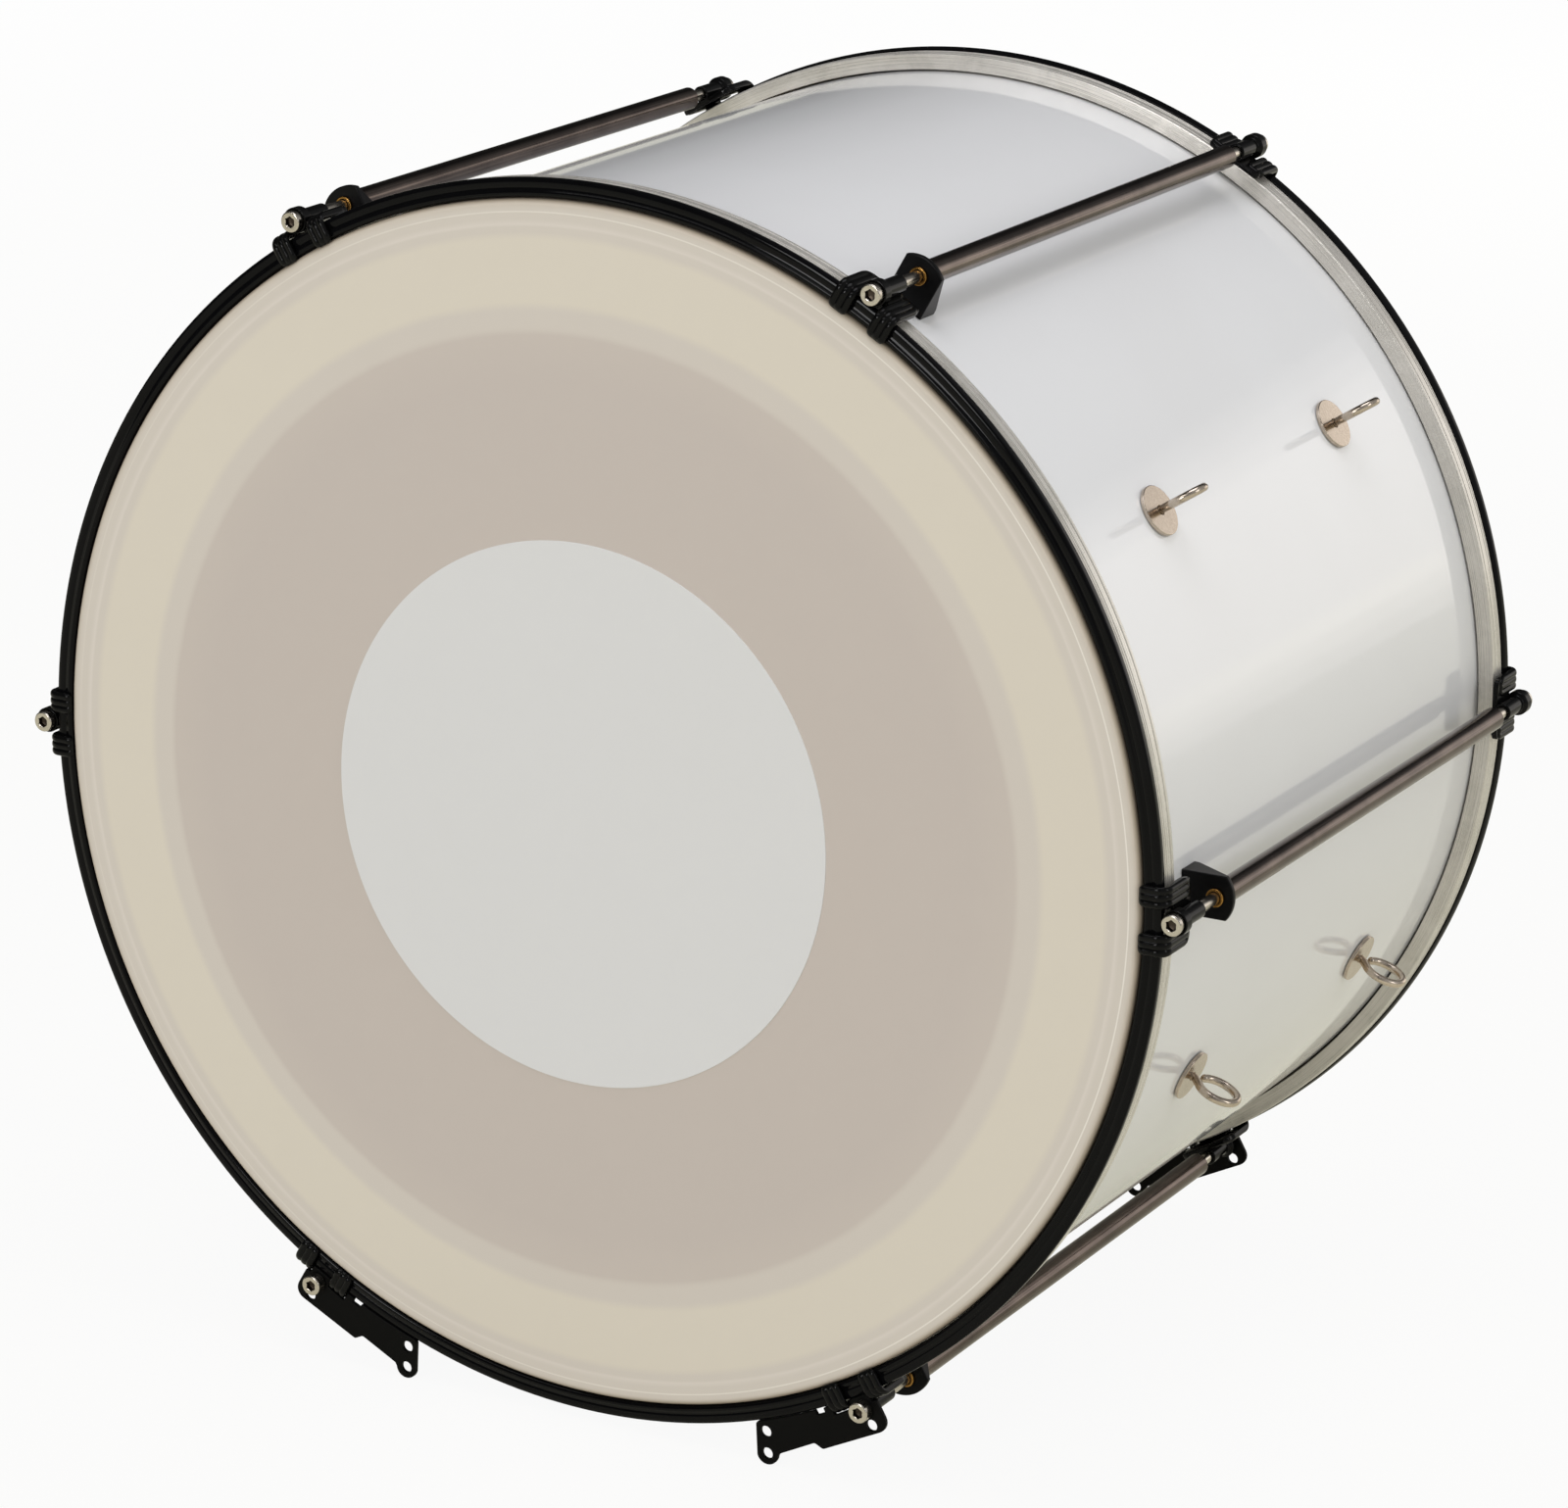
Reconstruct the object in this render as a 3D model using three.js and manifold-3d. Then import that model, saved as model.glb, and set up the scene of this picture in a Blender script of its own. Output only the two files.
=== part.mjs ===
// A marching bass drum: a 24 in head on a 16.5 in deep shell, standing on its four rim feet.
// Millimetres. The drum's axis lies along Y and the playing head faces -Y. +X is the right
// side as seen from the playing head, and +Z is up. The origin is on the floor, mid-width
// and mid-depth.
import * as THREE from 'three';
import { mergeVertices } from 'three/addons/utils/BufferGeometryUtils.js';
import Module from 'manifold-3d';

const wasm = await Module();
wasm.setup();

// Fit and fineness
const SEAT_GAP = 0.3; // left between two pieces that touch on the real drum
const CUT_OVERRUN = 4; // how far a cutter reaches past the wall that it cuts
const RING_STEPS = 48; // facets round everything as wide as the shell
const ROUND_STEPS = 12; // facets round a barrel, a tube, a screw or a washer
const BORE_STEPS = 8; // facets round a small bore
const HEX_STEPS = 6;

// Shell
const SHELL_RADIUS = 304.8;
const SHELL_WALL = 6;
const SHELL_DEPTH = 419;
const CREST_INSET = 2.2; // the bearing edge's crest, inside the shell's outer face
const CREST_OUTER_DROP = 1.6;
const CREST_INNER_DROP = 3.8;

// Heads
const FILM_THICKNESS = 0.5;
const COLLAR_LENGTH = 14;
const COLLAR_ROLL_STEPS = 2;
const PATCH_RADIUS = 139;
const PATCH_THICKNESS = 0.4;
const MUFFLE_EDGE_PLAY = 1.3; // from the shell's inner face to the ring's outer edge
const MUFFLE_WIDTH = 49.5;
const MUFFLE_THICKNESS = 0.5;

// Counter hoop, measured inwards from its front plane
const HOOP_SETBACK = 1; // the head's face stands this far in front of the hoop
const HOOP_INNER_STEP = 0.2; // the counter hoop is this much wider inside than the flesh hoop
const HOOP_WALL = 9.6;
const HOOP_HEIGHT = 6.6;
const HOOP_INNER_ROUND = 1.6;
const HOOP_BEAD_REACH = 4; // from the inner face to the ridge of the bead
const HOOP_BEAD_FALL = 0.2; // from the ridge to the start of the inner rounding
const HOOP_FRONT_FALL = 0.6; // from the ridge to the outer corner
const HOOP_OUTER_ROUND = 1.1;

// Flesh hoop
const FLESH_CLEARANCE = 1.4; // round the shell
const FLESH_SETBACK = 1.5; // inside the counter hoop's outer face
const FLESH_HEIGHT = 11;
const FLESH_STEP = 0.8;
const FLESH_STEP_HEIGHT = 3.2;

// Tension screw
const SCREW_DIAMETER = 6;
const SCREW_LENGTH = 70;
const SCREW_HEAD_DIAMETER = 10.6;
const SCREW_HEAD_HEIGHT = 6;
const SOCKET_WIDTH = 5;
const SOCKET_DEPTH = 3;

// Claw
const CLAW_FRONT = 2.9; // depth of the collar's front face behind the hoop's front plane
const CLAW_COLLAR_RIM = 1.2; // round the screw's head
const CLAW_COLLAR_LENGTH = 3.4;
const CLAW_BARREL_WALL = 1.2;
const CLAW_BARREL_LENGTH = 26;
const CLAW_WEB_FRONT = 8;
const CLAW_WEB_SETBACK = 2; // of the web's corners from the arms' ends
const CLAW_WEB_TAPER = 5.5; // from those corners to the tail
const CLAW_WEB_TAIL_HALF_WIDTH = 3.4;
const CLAW_WEB_THICKNESS = 3;
const HOOK_WIDTH = 10.8;
const HOOK_CLEARANCE = 1; // from a hook to the screw's head
const HOOK_THICKNESS = 2.5; // over the front of the hoop
const HOOK_LIP = 2.7; // reach over the hoop's inner edge
const HOOK_LIP_RISE = 0.9;
const HOOK_LIP_SHARE = 0.2; // of the hook's thickness, lost at the lip's outer corner
const ARM_THICKNESS = 4.3;
const ARM_END = 22.5; // depth of the arm's rear end behind the hoop's front plane
const ARM_END_ROUND = 2.2;
const ARM_SHOULDER = 8; // depth at which the arm reaches its full thickness
const ARM_SHOULDER_SHARES = [1 / 3, 2 / 3]; // of the arm's thickness, on the way round the hoop's edge

// Lug, tube and bush
const LUG_CLAW_GAP = 15.8; // from the end of the claw's barrel to the lug
const LUG_PLATE = 3;
const LUG_WIDTH = 22;
const LUG_NOSE_REACH = 9.2; // from the screw's axis to the tip of the nose
const LUG_NOSE_RISE = 4;
const LUG_NOSE_STEPS = 4;
const LUG_WEB = 2.8;
const LUG_BASE = 2.6;
const LUG_LENGTH = 14.5;
const LUG_STUD_DIAMETER = 6;
const LUG_NUT_WIDTH = 10;
const LUG_NUT_HEIGHT = 5;
const TUBE_WALL = 2.7;
const TUBE_CLAW_GAP = 3.1; // from the tube's end to the rear claw's barrel
const BUSH_WALL = 0.6;
const BUSH_FLANGE_LIP = 0.9;
const BUSH_FLANGE_HEIGHT = 1.2;

// Foot plate, in the plane of the rim; its sides are measured along the rim from the screw
const FOOT_THICKNESS = 2.5;
const FOOT_HOOP_CLEARANCE = 0.6;
const FOOT_HOOK_CLEARANCE = 0.5;
const FOOT_TAIL = 9;
const FOOT_CORNER_ROUND = 5;
const FOOT_CORNER_SHARE = 1 / 3; // of the corner's round, from its middle point to each edge
const FOOT_EDGE_FALL = 2.4; // how far the outer edge draws in before its step
const FOOT_STEP_SIDE = 33;
const FOOT_STEP_RUN = 3;
const FOOT_STEP = 4.4;
const FOOT_NECK_FALL = 1;
const FOOT_LOBE_SIDE = 65;
const FOOT_LOBE_REACH = 4; // from the screw's axis circle to the lobe's hole
const FOOT_LOBE_WALL = 3; // round the lobe's hole
const FOOT_LOBE_STEP_ANGLE = 30;
const FOOT_LOBE_FIRST_SIDE = -1; // facets of the lobe, counted from the one turned outwards
const FOOT_LOBE_LAST_SIDE = 3;
const FOOT_HOLE_DIAMETER = 6;
const FOOT_OUTER_HOLE_REACH = 9.1; // from the screw's axis
const FOOT_OUTER_HOLE_EDGE = 2.1; // from that hole to the outer edge
const FOOT_INNER_HOLE_SETBACK = 5; // from the lobe's hole back towards the screw
const FOOT_INNER_HOLE_EDGE = 2.5; // from that hole to the inner edge
const FOOT_NOTCH_SETBACK = 4.4; // from the cut-out for the hook
const FOOT_NOTCH_WIDTH = 5;
const FOOT_NOTCH_DEPTH = 2.6;
const FOOT_EDGE_STEPS = 3;

// Eye bolt
const EYE_RING_RADIUS = 8.75;
const EYE_WIRE_DIAMETER = 4.5;
const EYE_RING_STEPS = 14;
const EYE_WIRE_STEPS = 6;
const EYE_PROTRUSION = 29;
const EYE_STEM_DIAMETER = 5.6;
const EYE_WASHER_DIAMETER = 26;
const EYE_WASHER_THICKNESS = 2;
const EYE_NUT_WIDTH = 10;
const EYE_NUT_HEIGHT = 5;
const EYE_SPREAD = 201; // from the front bolt of a pair to the rear one
const EYE_UPPER_ANGLE = 32.5;
const EYE_LOWER_ANGLE = -22.5;

// Sizes and places that follow from these
const FILM_FACE = SHELL_DEPTH / 2 + SEAT_GAP + FILM_THICKNESS;
const RIM_PLANE = FILM_FACE - HOOP_SETBACK;
const SHELL_INNER_RADIUS = SHELL_RADIUS - SHELL_WALL;
const MUFFLE_OUTER_RADIUS = SHELL_INNER_RADIUS - MUFFLE_EDGE_PLAY;
const FLESH_INNER_RADIUS = SHELL_RADIUS + FLESH_CLEARANCE;
const HOOP_INNER_RADIUS = FLESH_INNER_RADIUS + HOOP_INNER_STEP;
const HOOP_OUTER_RADIUS = HOOP_INNER_RADIUS + HOOP_WALL;
const FLESH_OUTER_RADIUS = HOOP_OUTER_RADIUS - FLESH_SETBACK;

const ROD_BORE = SCREW_DIAMETER + 2 * SEAT_GAP;
const CLAW_COLLAR_DIAMETER = SCREW_HEAD_DIAMETER + 2 * CLAW_COLLAR_RIM;
const CLAW_BARREL_DIAMETER = ROD_BORE + 2 * CLAW_BARREL_WALL;
const CLAW_END = CLAW_FRONT + CLAW_BARREL_LENGTH; // depth of the barrel's rear end
const CLAW_WEB_REAR = ARM_END - CLAW_WEB_SETBACK;
const HOOK_SPACING = SCREW_HEAD_DIAMETER + 2 * HOOK_CLEARANCE + HOOK_WIDTH; // middle to middle
const ROD_AXIS = HOOP_OUTER_RADIUS + SEAT_GAP + CLAW_COLLAR_DIAMETER / 2;
const LUG_FRONT = CLAW_END + LUG_CLAW_GAP; // depth of the lug's front face
const TUBE_DIAMETER = ROD_BORE + 2 * TUBE_WALL;
const BUSH_DIAMETER = ROD_BORE + 2 * BUSH_WALL;
const BUSH_FLANGE_DIAMETER = BUSH_DIAMETER + 2 * BUSH_FLANGE_LIP;

const STATION_NAMES = ['right', 'upper_right', 'upper_left', 'left', 'lower_left', 'lower_right'];
const STATION_ANGLE = (2 * Math.PI) / STATION_NAMES.length;
const FOOT_HANDS = { lower_left: 1, lower_right: -1 };

const HOOK_TOP = HOOP_OUTER_RADIUS + SEAT_GAP + ARM_THICKNESS;
const FOOT_HOOK_INSIDE = (HOOK_SPACING - HOOK_WIDTH) / 2 - FOOT_HOOK_CLEARANCE;
const FOOT_HOOK_OUTSIDE = (HOOK_SPACING + HOOK_WIDTH) / 2 + FOOT_HOOK_CLEARANCE;
const FOOT_LOBE_RADIUS = FOOT_HOLE_DIAMETER / 2 + FOOT_LOBE_WALL;
const LOBE_RADIAL = ROD_AXIS + FOOT_LOBE_REACH;
const FOOT_STATION_ANGLE = STATION_ANGLE * STATION_NAMES.indexOf('lower_right');
const AXIS_HEIGHT = FOOT_LOBE_RADIUS
  - LOBE_RADIAL * Math.sin(FOOT_STATION_ANGLE)
  + FOOT_LOBE_SIDE * Math.cos(FOOT_STATION_ANGLE);

const finishes = {
  white_gloss: { color: 0xf2f3f3, roughness: 0.12, metalness: 0 },
  film: { color: 0xe6dfc6, roughness: 0.4, metalness: 0 },
  patch: { color: 0xdcdedd, roughness: 0.45, metalness: 0 },
  muffle: { color: 0xece7d2, roughness: 0.7, metalness: 0 },
  black_gloss: { color: 0x101011, roughness: 0.22, metalness: 0.1 },
  black_satin: { color: 0x131314, roughness: 0.45, metalness: 0.1 },
  aluminium: { color: 0xb9b8b3, roughness: 0.35, metalness: 1 },
  gunmetal: { color: 0x4a4644, roughness: 0.3, metalness: 1 },
  steel: { color: 0xc9c5bd, roughness: 0.25, metalness: 1 },
  brass: { color: 0xb98a3c, roughness: 0.3, metalness: 1 },
  nickel: { color: 0xa9a294, roughness: 0.3, metalness: 1 },
};

const drum = new THREE.Group();
drum.position.z = AXIS_HEIGHT;

function addPiece(parent, name, solid, finish) {
  const mesh = new THREE.Mesh(toGeometry(solid), new THREE.MeshStandardMaterial(finishes[finish]));
  mesh.material.flatShading = true;
  mesh.name = name;
  parent.add(mesh);
}

// Solids from geometry and back

function toSolid(geometry) {
  geometry.deleteAttribute('normal');
  geometry.deleteAttribute('uv');
  const welded = mergeVertices(geometry);
  const corners = welded.index.array;
  const kept = [];
  for (let i = 0; i < corners.length; i += 3) {
    const [a, b, c] = [corners[i], corners[i + 1], corners[i + 2]];
    if (a !== b && b !== c && c !== a) kept.push(a, b, c);
  }
  const vertProperties = welded.attributes.position.array;
  return new wasm.Manifold(new wasm.Mesh({ numProp: 3, vertProperties, triVerts: new Uint32Array(kept) }));
}

function toGeometry(solid) {
  const { vertProperties, triVerts } = solid.getMesh();
  const geometry = new THREE.BufferGeometry();
  geometry.setAttribute('position', new THREE.BufferAttribute(vertProperties, 3));
  geometry.setIndex(new THREE.BufferAttribute(triVerts, 1));
  geometry.computeVertexNormals();
  return geometry;
}

const join = (first, ...others) => others.reduce((sum, solid) => sum.add(solid), first);
const cut = (body, ...cutters) => cutters.reduce((rest, cutter) => rest.subtract(cutter), body);

// Forms. A profile is a list of [radius or radial place, place along Y], anticlockwise.

const toPoints = (profile) => profile.map(([x, y]) => new THREE.Vector2(x, y));

// A solid of revolution about Y, whose profile starts and ends on the axis.
const turned = (profile, steps) => new THREE.LatheGeometry(toPoints(profile), steps);

// A ring about Y, whose profile closes on itself.
const ring = (profile, steps) => turned([...profile, profile[0]], steps);

function rod(diameter, from, to, steps = ROUND_STEPS) {
  const radius = diameter / 2;
  return turned([[0, from], [radius, from], [radius, to], [0, to]], steps);
}

// A hexagonal rod about Y that is as wide across its flats as given.
const hexRod = (width, from, to) => rod(width / Math.cos(Math.PI / HEX_STEPS), from, to, HEX_STEPS);

// Turns a rod about Y into one that points away from the drum's axis.
const pointOutwards = (geometry) => geometry.rotateZ(-Math.PI / 2);

// An outline in the radial plane, given a width along the rim.
function prism(profile, width, middle = 0) {
  const shape = new THREE.Shape(toPoints(profile));
  const geometry = new THREE.ExtrudeGeometry(shape, { depth: width, bevelEnabled: false });
  return toSolid(geometry.translate(0, 0, middle - width / 2));
}

// An outline of [radial place, place along the rim], given a thickness along Y from its front.
function plate(outline, thickness, front, holes = []) {
  const shape = new THREE.Shape(toPoints(outline));
  shape.holes = holes.map((hole) => new THREE.Path(toPoints(hole)));
  const geometry = new THREE.ExtrudeGeometry(shape, { depth: thickness, bevelEnabled: false });
  return toSolid(geometry.rotateX(Math.PI / 2).translate(0, front + thickness, 0));
}

function circle(x, y, diameter, steps) {
  return Array.from({ length: steps }, (_, i) => {
    const angle = (2 * Math.PI * (i + 0.5)) / steps;
    return [x + (diameter / 2) * Math.cos(angle), y + (diameter / 2) * Math.sin(angle)];
  });
}

// Place along Y of a point that lies a depth behind the front hoop's front plane. All end
// pieces are drawn at the front; the rear ones are the same, turned half round.
const behindRim = (depth) => depth - RIM_PLANE;

// Shell and heads

function shellSolid() {
  const end = SHELL_DEPTH / 2;
  const crest = SHELL_RADIUS - CREST_INSET;
  const body = toSolid(ring([
    [SHELL_INNER_RADIUS, CREST_INNER_DROP - end],
    [crest, -end],
    [SHELL_RADIUS, CREST_OUTER_DROP - end],
    [SHELL_RADIUS, end - CREST_OUTER_DROP],
    [crest, end],
    [SHELL_INNER_RADIUS, end - CREST_INNER_DROP],
  ], RING_STEPS));
  const lugHoles = STATION_NAMES.map((_, i) => {
    return wallCutter(LUG_STUD_DIAMETER, i * STATION_ANGLE, lugStudPlace());
  });
  const eyeHoles = eyeBoltPlaces().map(({ angle, along }) => {
    return wallCutter(EYE_STEM_DIAMETER, angle, along);
  });
  return cut(body, ...lugHoles, ...eyeHoles);
}

// A cutter through the shell's wall with clearance round a stud.
function wallCutter(diameter, angle, along) {
  const from = SHELL_INNER_RADIUS - CUT_OVERRUN;
  const to = SHELL_RADIUS + CUT_OVERRUN;
  const cutter = pointOutwards(rod(diameter + 2 * SEAT_GAP, from, to, BORE_STEPS));
  return toSolid(cutter.translate(0, along, 0).rotateY(-angle));
}

// The film lies flat over the bearing edges, rolls over them and runs down into the flesh hoop.
function filmSolid() {
  const outer = FLESH_INNER_RADIUS - SEAT_GAP;
  const inner = outer - FILM_THICKNESS;
  const rollStart = SHELL_RADIUS - CREST_INSET;
  const rollRadius = outer - rollStart;
  const rollMiddle = rollRadius - FILM_FACE;
  const roll = (radius, i) => {
    const angle = ((Math.PI / 2) * i) / COLLAR_ROLL_STEPS;
    return [rollStart + radius * Math.sin(angle), rollMiddle - radius * Math.cos(angle)];
  };
  const steps = Array.from({ length: COLLAR_ROLL_STEPS + 1 }, (_, i) => i);
  return toSolid(turned([
    [0, -FILM_FACE],
    ...steps.map((i) => roll(rollRadius, i)),
    [outer, COLLAR_LENGTH - FILM_FACE],
    [inner, COLLAR_LENGTH - FILM_FACE],
    ...steps.reverse().map((i) => roll(rollRadius - FILM_THICKNESS, i)),
    [0, FILM_THICKNESS - FILM_FACE],
  ], RING_STEPS));
}

function patchSolid() {
  return toSolid(rod(2 * PATCH_RADIUS, -FILM_FACE - PATCH_THICKNESS, -FILM_FACE, RING_STEPS));
}

function muffleRingSolid() {
  const inner = MUFFLE_OUTER_RADIUS - MUFFLE_WIDTH;
  const front = FILM_THICKNESS - FILM_FACE;
  const back = front + MUFFLE_THICKNESS;
  return toSolid(ring([
    [inner, front],
    [MUFFLE_OUTER_RADIUS, front],
    [MUFFLE_OUTER_RADIUS, back],
    [inner, back],
  ], RING_STEPS));
}

function counterHoopSolid() {
  const softEdge = HOOP_FRONT_FALL + HOOP_OUTER_ROUND;
  return toSolid(ring([
    [HOOP_INNER_RADIUS, behindRim(HOOP_INNER_ROUND)],
    [HOOP_INNER_RADIUS + HOOP_INNER_ROUND, behindRim(HOOP_BEAD_FALL)],
    [HOOP_INNER_RADIUS + HOOP_BEAD_REACH, behindRim(0)],
    [HOOP_OUTER_RADIUS - HOOP_OUTER_ROUND, behindRim(HOOP_FRONT_FALL)],
    [HOOP_OUTER_RADIUS, behindRim(softEdge)],
    [HOOP_OUTER_RADIUS, behindRim(HOOP_HEIGHT)],
    [HOOP_INNER_RADIUS, behindRim(HOOP_HEIGHT)],
  ], RING_STEPS));
}

function fleshHoopSolid() {
  const front = behindRim(HOOP_HEIGHT + SEAT_GAP);
  const back = front + FLESH_HEIGHT;
  return toSolid(ring([
    [FLESH_INNER_RADIUS, front],
    [FLESH_OUTER_RADIUS, front],
    [FLESH_OUTER_RADIUS, back - FLESH_STEP_HEIGHT - FLESH_STEP],
    [FLESH_OUTER_RADIUS - FLESH_STEP, back - FLESH_STEP_HEIGHT],
    [FLESH_OUTER_RADIUS - FLESH_STEP, back],
    [FLESH_INNER_RADIUS, back],
  ], RING_STEPS));
}

// Tension station, drawn at the right station: X points away from the axis, Z along the rim

// The claw: two hooks over the hoop, a web behind it and a barrel for the screw.
function clawSolid() {
  const hook = hookProfile();
  const hooks = [-1, 1].map((side) => prism(hook, HOOK_WIDTH, (side * HOOK_SPACING) / 2));
  return cut(join(clawBarrel(), clawWeb(), ...hooks), rodBore(CLAW_FRONT, CLAW_BARREL_LENGTH));
}

// Section of a hook and its arm: a lip over the head's edge, the front and the side of the hoop.
function hookProfile() {
  const side = HOOP_OUTER_RADIUS + SEAT_GAP;
  const lipTip = HOOP_INNER_RADIUS - HOOK_LIP;
  const back = -SEAT_GAP;
  const front = back - HOOK_THICKNESS;
  const crown = HOOK_TOP;
  const [firstShare, lastShare] = ARM_SHOULDER_SHARES;
  return [
    [side, ARM_END],
    [side, back],
    [HOOP_INNER_RADIUS - SEAT_GAP, back],
    [lipTip, back - HOOK_LIP_RISE],
    [lipTip + HOOK_LIP_RISE / 2, front + HOOK_LIP_SHARE * HOOK_THICKNESS],
    [HOOP_INNER_RADIUS, front],
    [HOOP_OUTER_RADIUS - HOOP_OUTER_ROUND, front],
    [side + firstShare * ARM_THICKNESS, back - HOOK_THICKNESS / 2],
    [side + lastShare * ARM_THICKNESS, HOOP_INNER_ROUND],
    [crown, ARM_SHOULDER],
    [crown, ARM_END - ARM_END_ROUND],
    [crown - ARM_END_ROUND, ARM_END],
  ].map(([radial, depth]) => [radial, behindRim(depth)]);
}

function clawBarrel() {
  const front = behindRim(CLAW_FRONT);
  const collarEnd = front + CLAW_COLLAR_LENGTH;
  const taper = (CLAW_COLLAR_DIAMETER - CLAW_BARREL_DIAMETER) / 2;
  const barrel = turned([
    [0, front],
    [CLAW_COLLAR_DIAMETER / 2, front],
    [CLAW_COLLAR_DIAMETER / 2, collarEnd],
    [CLAW_BARREL_DIAMETER / 2, collarEnd + taper],
    [CLAW_BARREL_DIAMETER / 2, front + CLAW_BARREL_LENGTH],
    [0, front + CLAW_BARREL_LENGTH],
  ], ROUND_STEPS);
  return toSolid(barrel.translate(ROD_AXIS, 0, 0));
}

// The web lies under the barrel, behind the hoop's side, and reaches into both arms.
function clawWeb() {
  const halfWidth = HOOK_SPACING / 2;
  const from = HOOP_OUTER_RADIUS + 2 * SEAT_GAP;
  const tail = CLAW_WEB_REAR + CLAW_WEB_TAPER;
  const outline = [
    [CLAW_WEB_FRONT, -halfWidth],
    [CLAW_WEB_REAR, -halfWidth],
    [tail, -CLAW_WEB_TAIL_HALF_WIDTH],
    [tail, CLAW_WEB_TAIL_HALF_WIDTH],
    [CLAW_WEB_REAR, halfWidth],
    [CLAW_WEB_FRONT, halfWidth],
  ];
  const shape = new THREE.Shape(outline.map(([depth, side]) => new THREE.Vector2(behindRim(depth), side)));
  const slab = new THREE.ExtrudeGeometry(shape, { depth: CLAW_WEB_THICKNESS, bevelEnabled: false });
  return toSolid(slab.rotateX(Math.PI / 2).rotateZ(Math.PI / 2).translate(from, 0, 0));
}

function rodBore(depth, length) {
  const from = behindRim(depth) - CUT_OVERRUN;
  const to = behindRim(depth + length) + CUT_OVERRUN;
  return toSolid(rod(ROD_BORE, from, to, BORE_STEPS).translate(ROD_AXIS, 0, 0));
}

// A socket head screw. Its seat is the depth of the face that the head bears on.
function screwSolid(seat) {
  const bearing = behindRim(seat - SEAT_GAP);
  const face = bearing - SCREW_HEAD_HEIGHT;
  const blank = toSolid(turned([
    [0, face],
    [SCREW_HEAD_DIAMETER / 2, face],
    [SCREW_HEAD_DIAMETER / 2, bearing],
    [SCREW_DIAMETER / 2, bearing],
    [SCREW_DIAMETER / 2, bearing + SCREW_LENGTH],
    [0, bearing + SCREW_LENGTH],
  ], ROUND_STEPS));
  const socket = toSolid(hexRod(SOCKET_WIDTH, face - CUT_OVERRUN, face + SOCKET_DEPTH));
  return cut(blank, socket).translate([ROD_AXIS, 0, 0]);
}

const lugStudPlace = () => behindRim(LUG_FRONT + (LUG_PLATE + LUG_LENGTH) / 2);

// The lug: an upright plate with a round nose, two tapering webs behind it and a base that
// follows the shell, held by a stud and a nut through the wall.
function lugSolid() {
  const front = behindRim(LUG_FRONT);
  const nose = ROD_AXIS + LUG_NOSE_REACH;
  const shoulder = nose - LUG_NOSE_RISE;
  const noseRadius = (LUG_WIDTH ** 2 / 4 + LUG_NOSE_RISE ** 2) / (2 * LUG_NOSE_RISE);
  const noseSweep = 2 * Math.asin(LUG_WIDTH / 2 / noseRadius);
  const noseArc = Array.from({ length: LUG_NOSE_STEPS + 1 }, (_, i) => {
    const angle = (i / LUG_NOSE_STEPS) * noseSweep - noseSweep / 2;
    return [nose - noseRadius + noseRadius * Math.cos(angle), noseRadius * Math.sin(angle)];
  });
  const foot = SHELL_RADIUS - CUT_OVERRUN;
  const upright = plate([[foot, -LUG_WIDTH / 2], ...noseArc, [foot, LUG_WIDTH / 2]], LUG_PLATE, front);
  const webProfile = [
    [foot, front],
    [shoulder, front],
    [shoulder, front + LUG_PLATE],
    [SHELL_RADIUS + LUG_BASE, front + LUG_LENGTH],
    [foot, front + LUG_LENGTH],
  ];
  const webs = [-1, 1].map((side) => prism(webProfile, LUG_WEB, (side * (LUG_WIDTH - LUG_WEB)) / 2));
  const basePlate = prism([
    [foot, front],
    [SHELL_RADIUS + LUG_BASE, front],
    [SHELL_RADIUS + LUG_BASE, front + LUG_LENGTH],
    [foot, front + LUG_LENGTH],
  ], LUG_WIDTH);
  const seat = toSolid(rod(2 * (SHELL_RADIUS + SEAT_GAP), -RIM_PLANE, RIM_PLANE, RING_STEPS));
  const bushHole = toSolid(rod(
    BUSH_DIAMETER + 2 * SEAT_GAP, front - CUT_OVERRUN, front + LUG_PLATE + CUT_OVERRUN, BORE_STEPS,
  ).translate(ROD_AXIS, 0, 0));
  const body = cut(join(upright, basePlate, ...webs), seat, bushHole);
  const overlap = SHELL_RADIUS + LUG_BASE / 2 + SEAT_GAP;
  const stud = wallStud(LUG_STUD_DIAMETER, LUG_NUT_WIDTH, LUG_NUT_HEIGHT, overlap);
  return join(body, stud.translate([0, lugStudPlace(), 0]));
}

// A stud through the shell's wall with its nut drawn up against the inside.
function wallStud(diameter, nutWidth, nutHeight, reach) {
  const facetDrop = nutWidth * Math.tan(Math.PI / RING_STEPS);
  const nutFace = SHELL_INNER_RADIUS * Math.cos(Math.PI / RING_STEPS) - facetDrop - SEAT_GAP / 2;
  const nut = toSolid(pointOutwards(hexRod(nutWidth, nutFace - nutHeight, nutFace)));
  const stud = toSolid(pointOutwards(rod(diameter, nutFace - nutHeight / 2, reach, BORE_STEPS)));
  return join(nut, stud);
}

function bushSolid() {
  const plateFront = behindRim(LUG_FRONT);
  const flangeBack = plateFront - SEAT_GAP;
  return toSolid(ring([
    [ROD_BORE / 2, flangeBack - BUSH_FLANGE_HEIGHT],
    [BUSH_FLANGE_DIAMETER / 2, flangeBack - BUSH_FLANGE_HEIGHT],
    [BUSH_FLANGE_DIAMETER / 2, flangeBack],
    [BUSH_DIAMETER / 2, flangeBack],
    [BUSH_DIAMETER / 2, plateFront + LUG_PLATE],
    [ROD_BORE / 2, plateFront + LUG_PLATE],
  ], BORE_STEPS).translate(ROD_AXIS, 0, 0));
}

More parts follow.
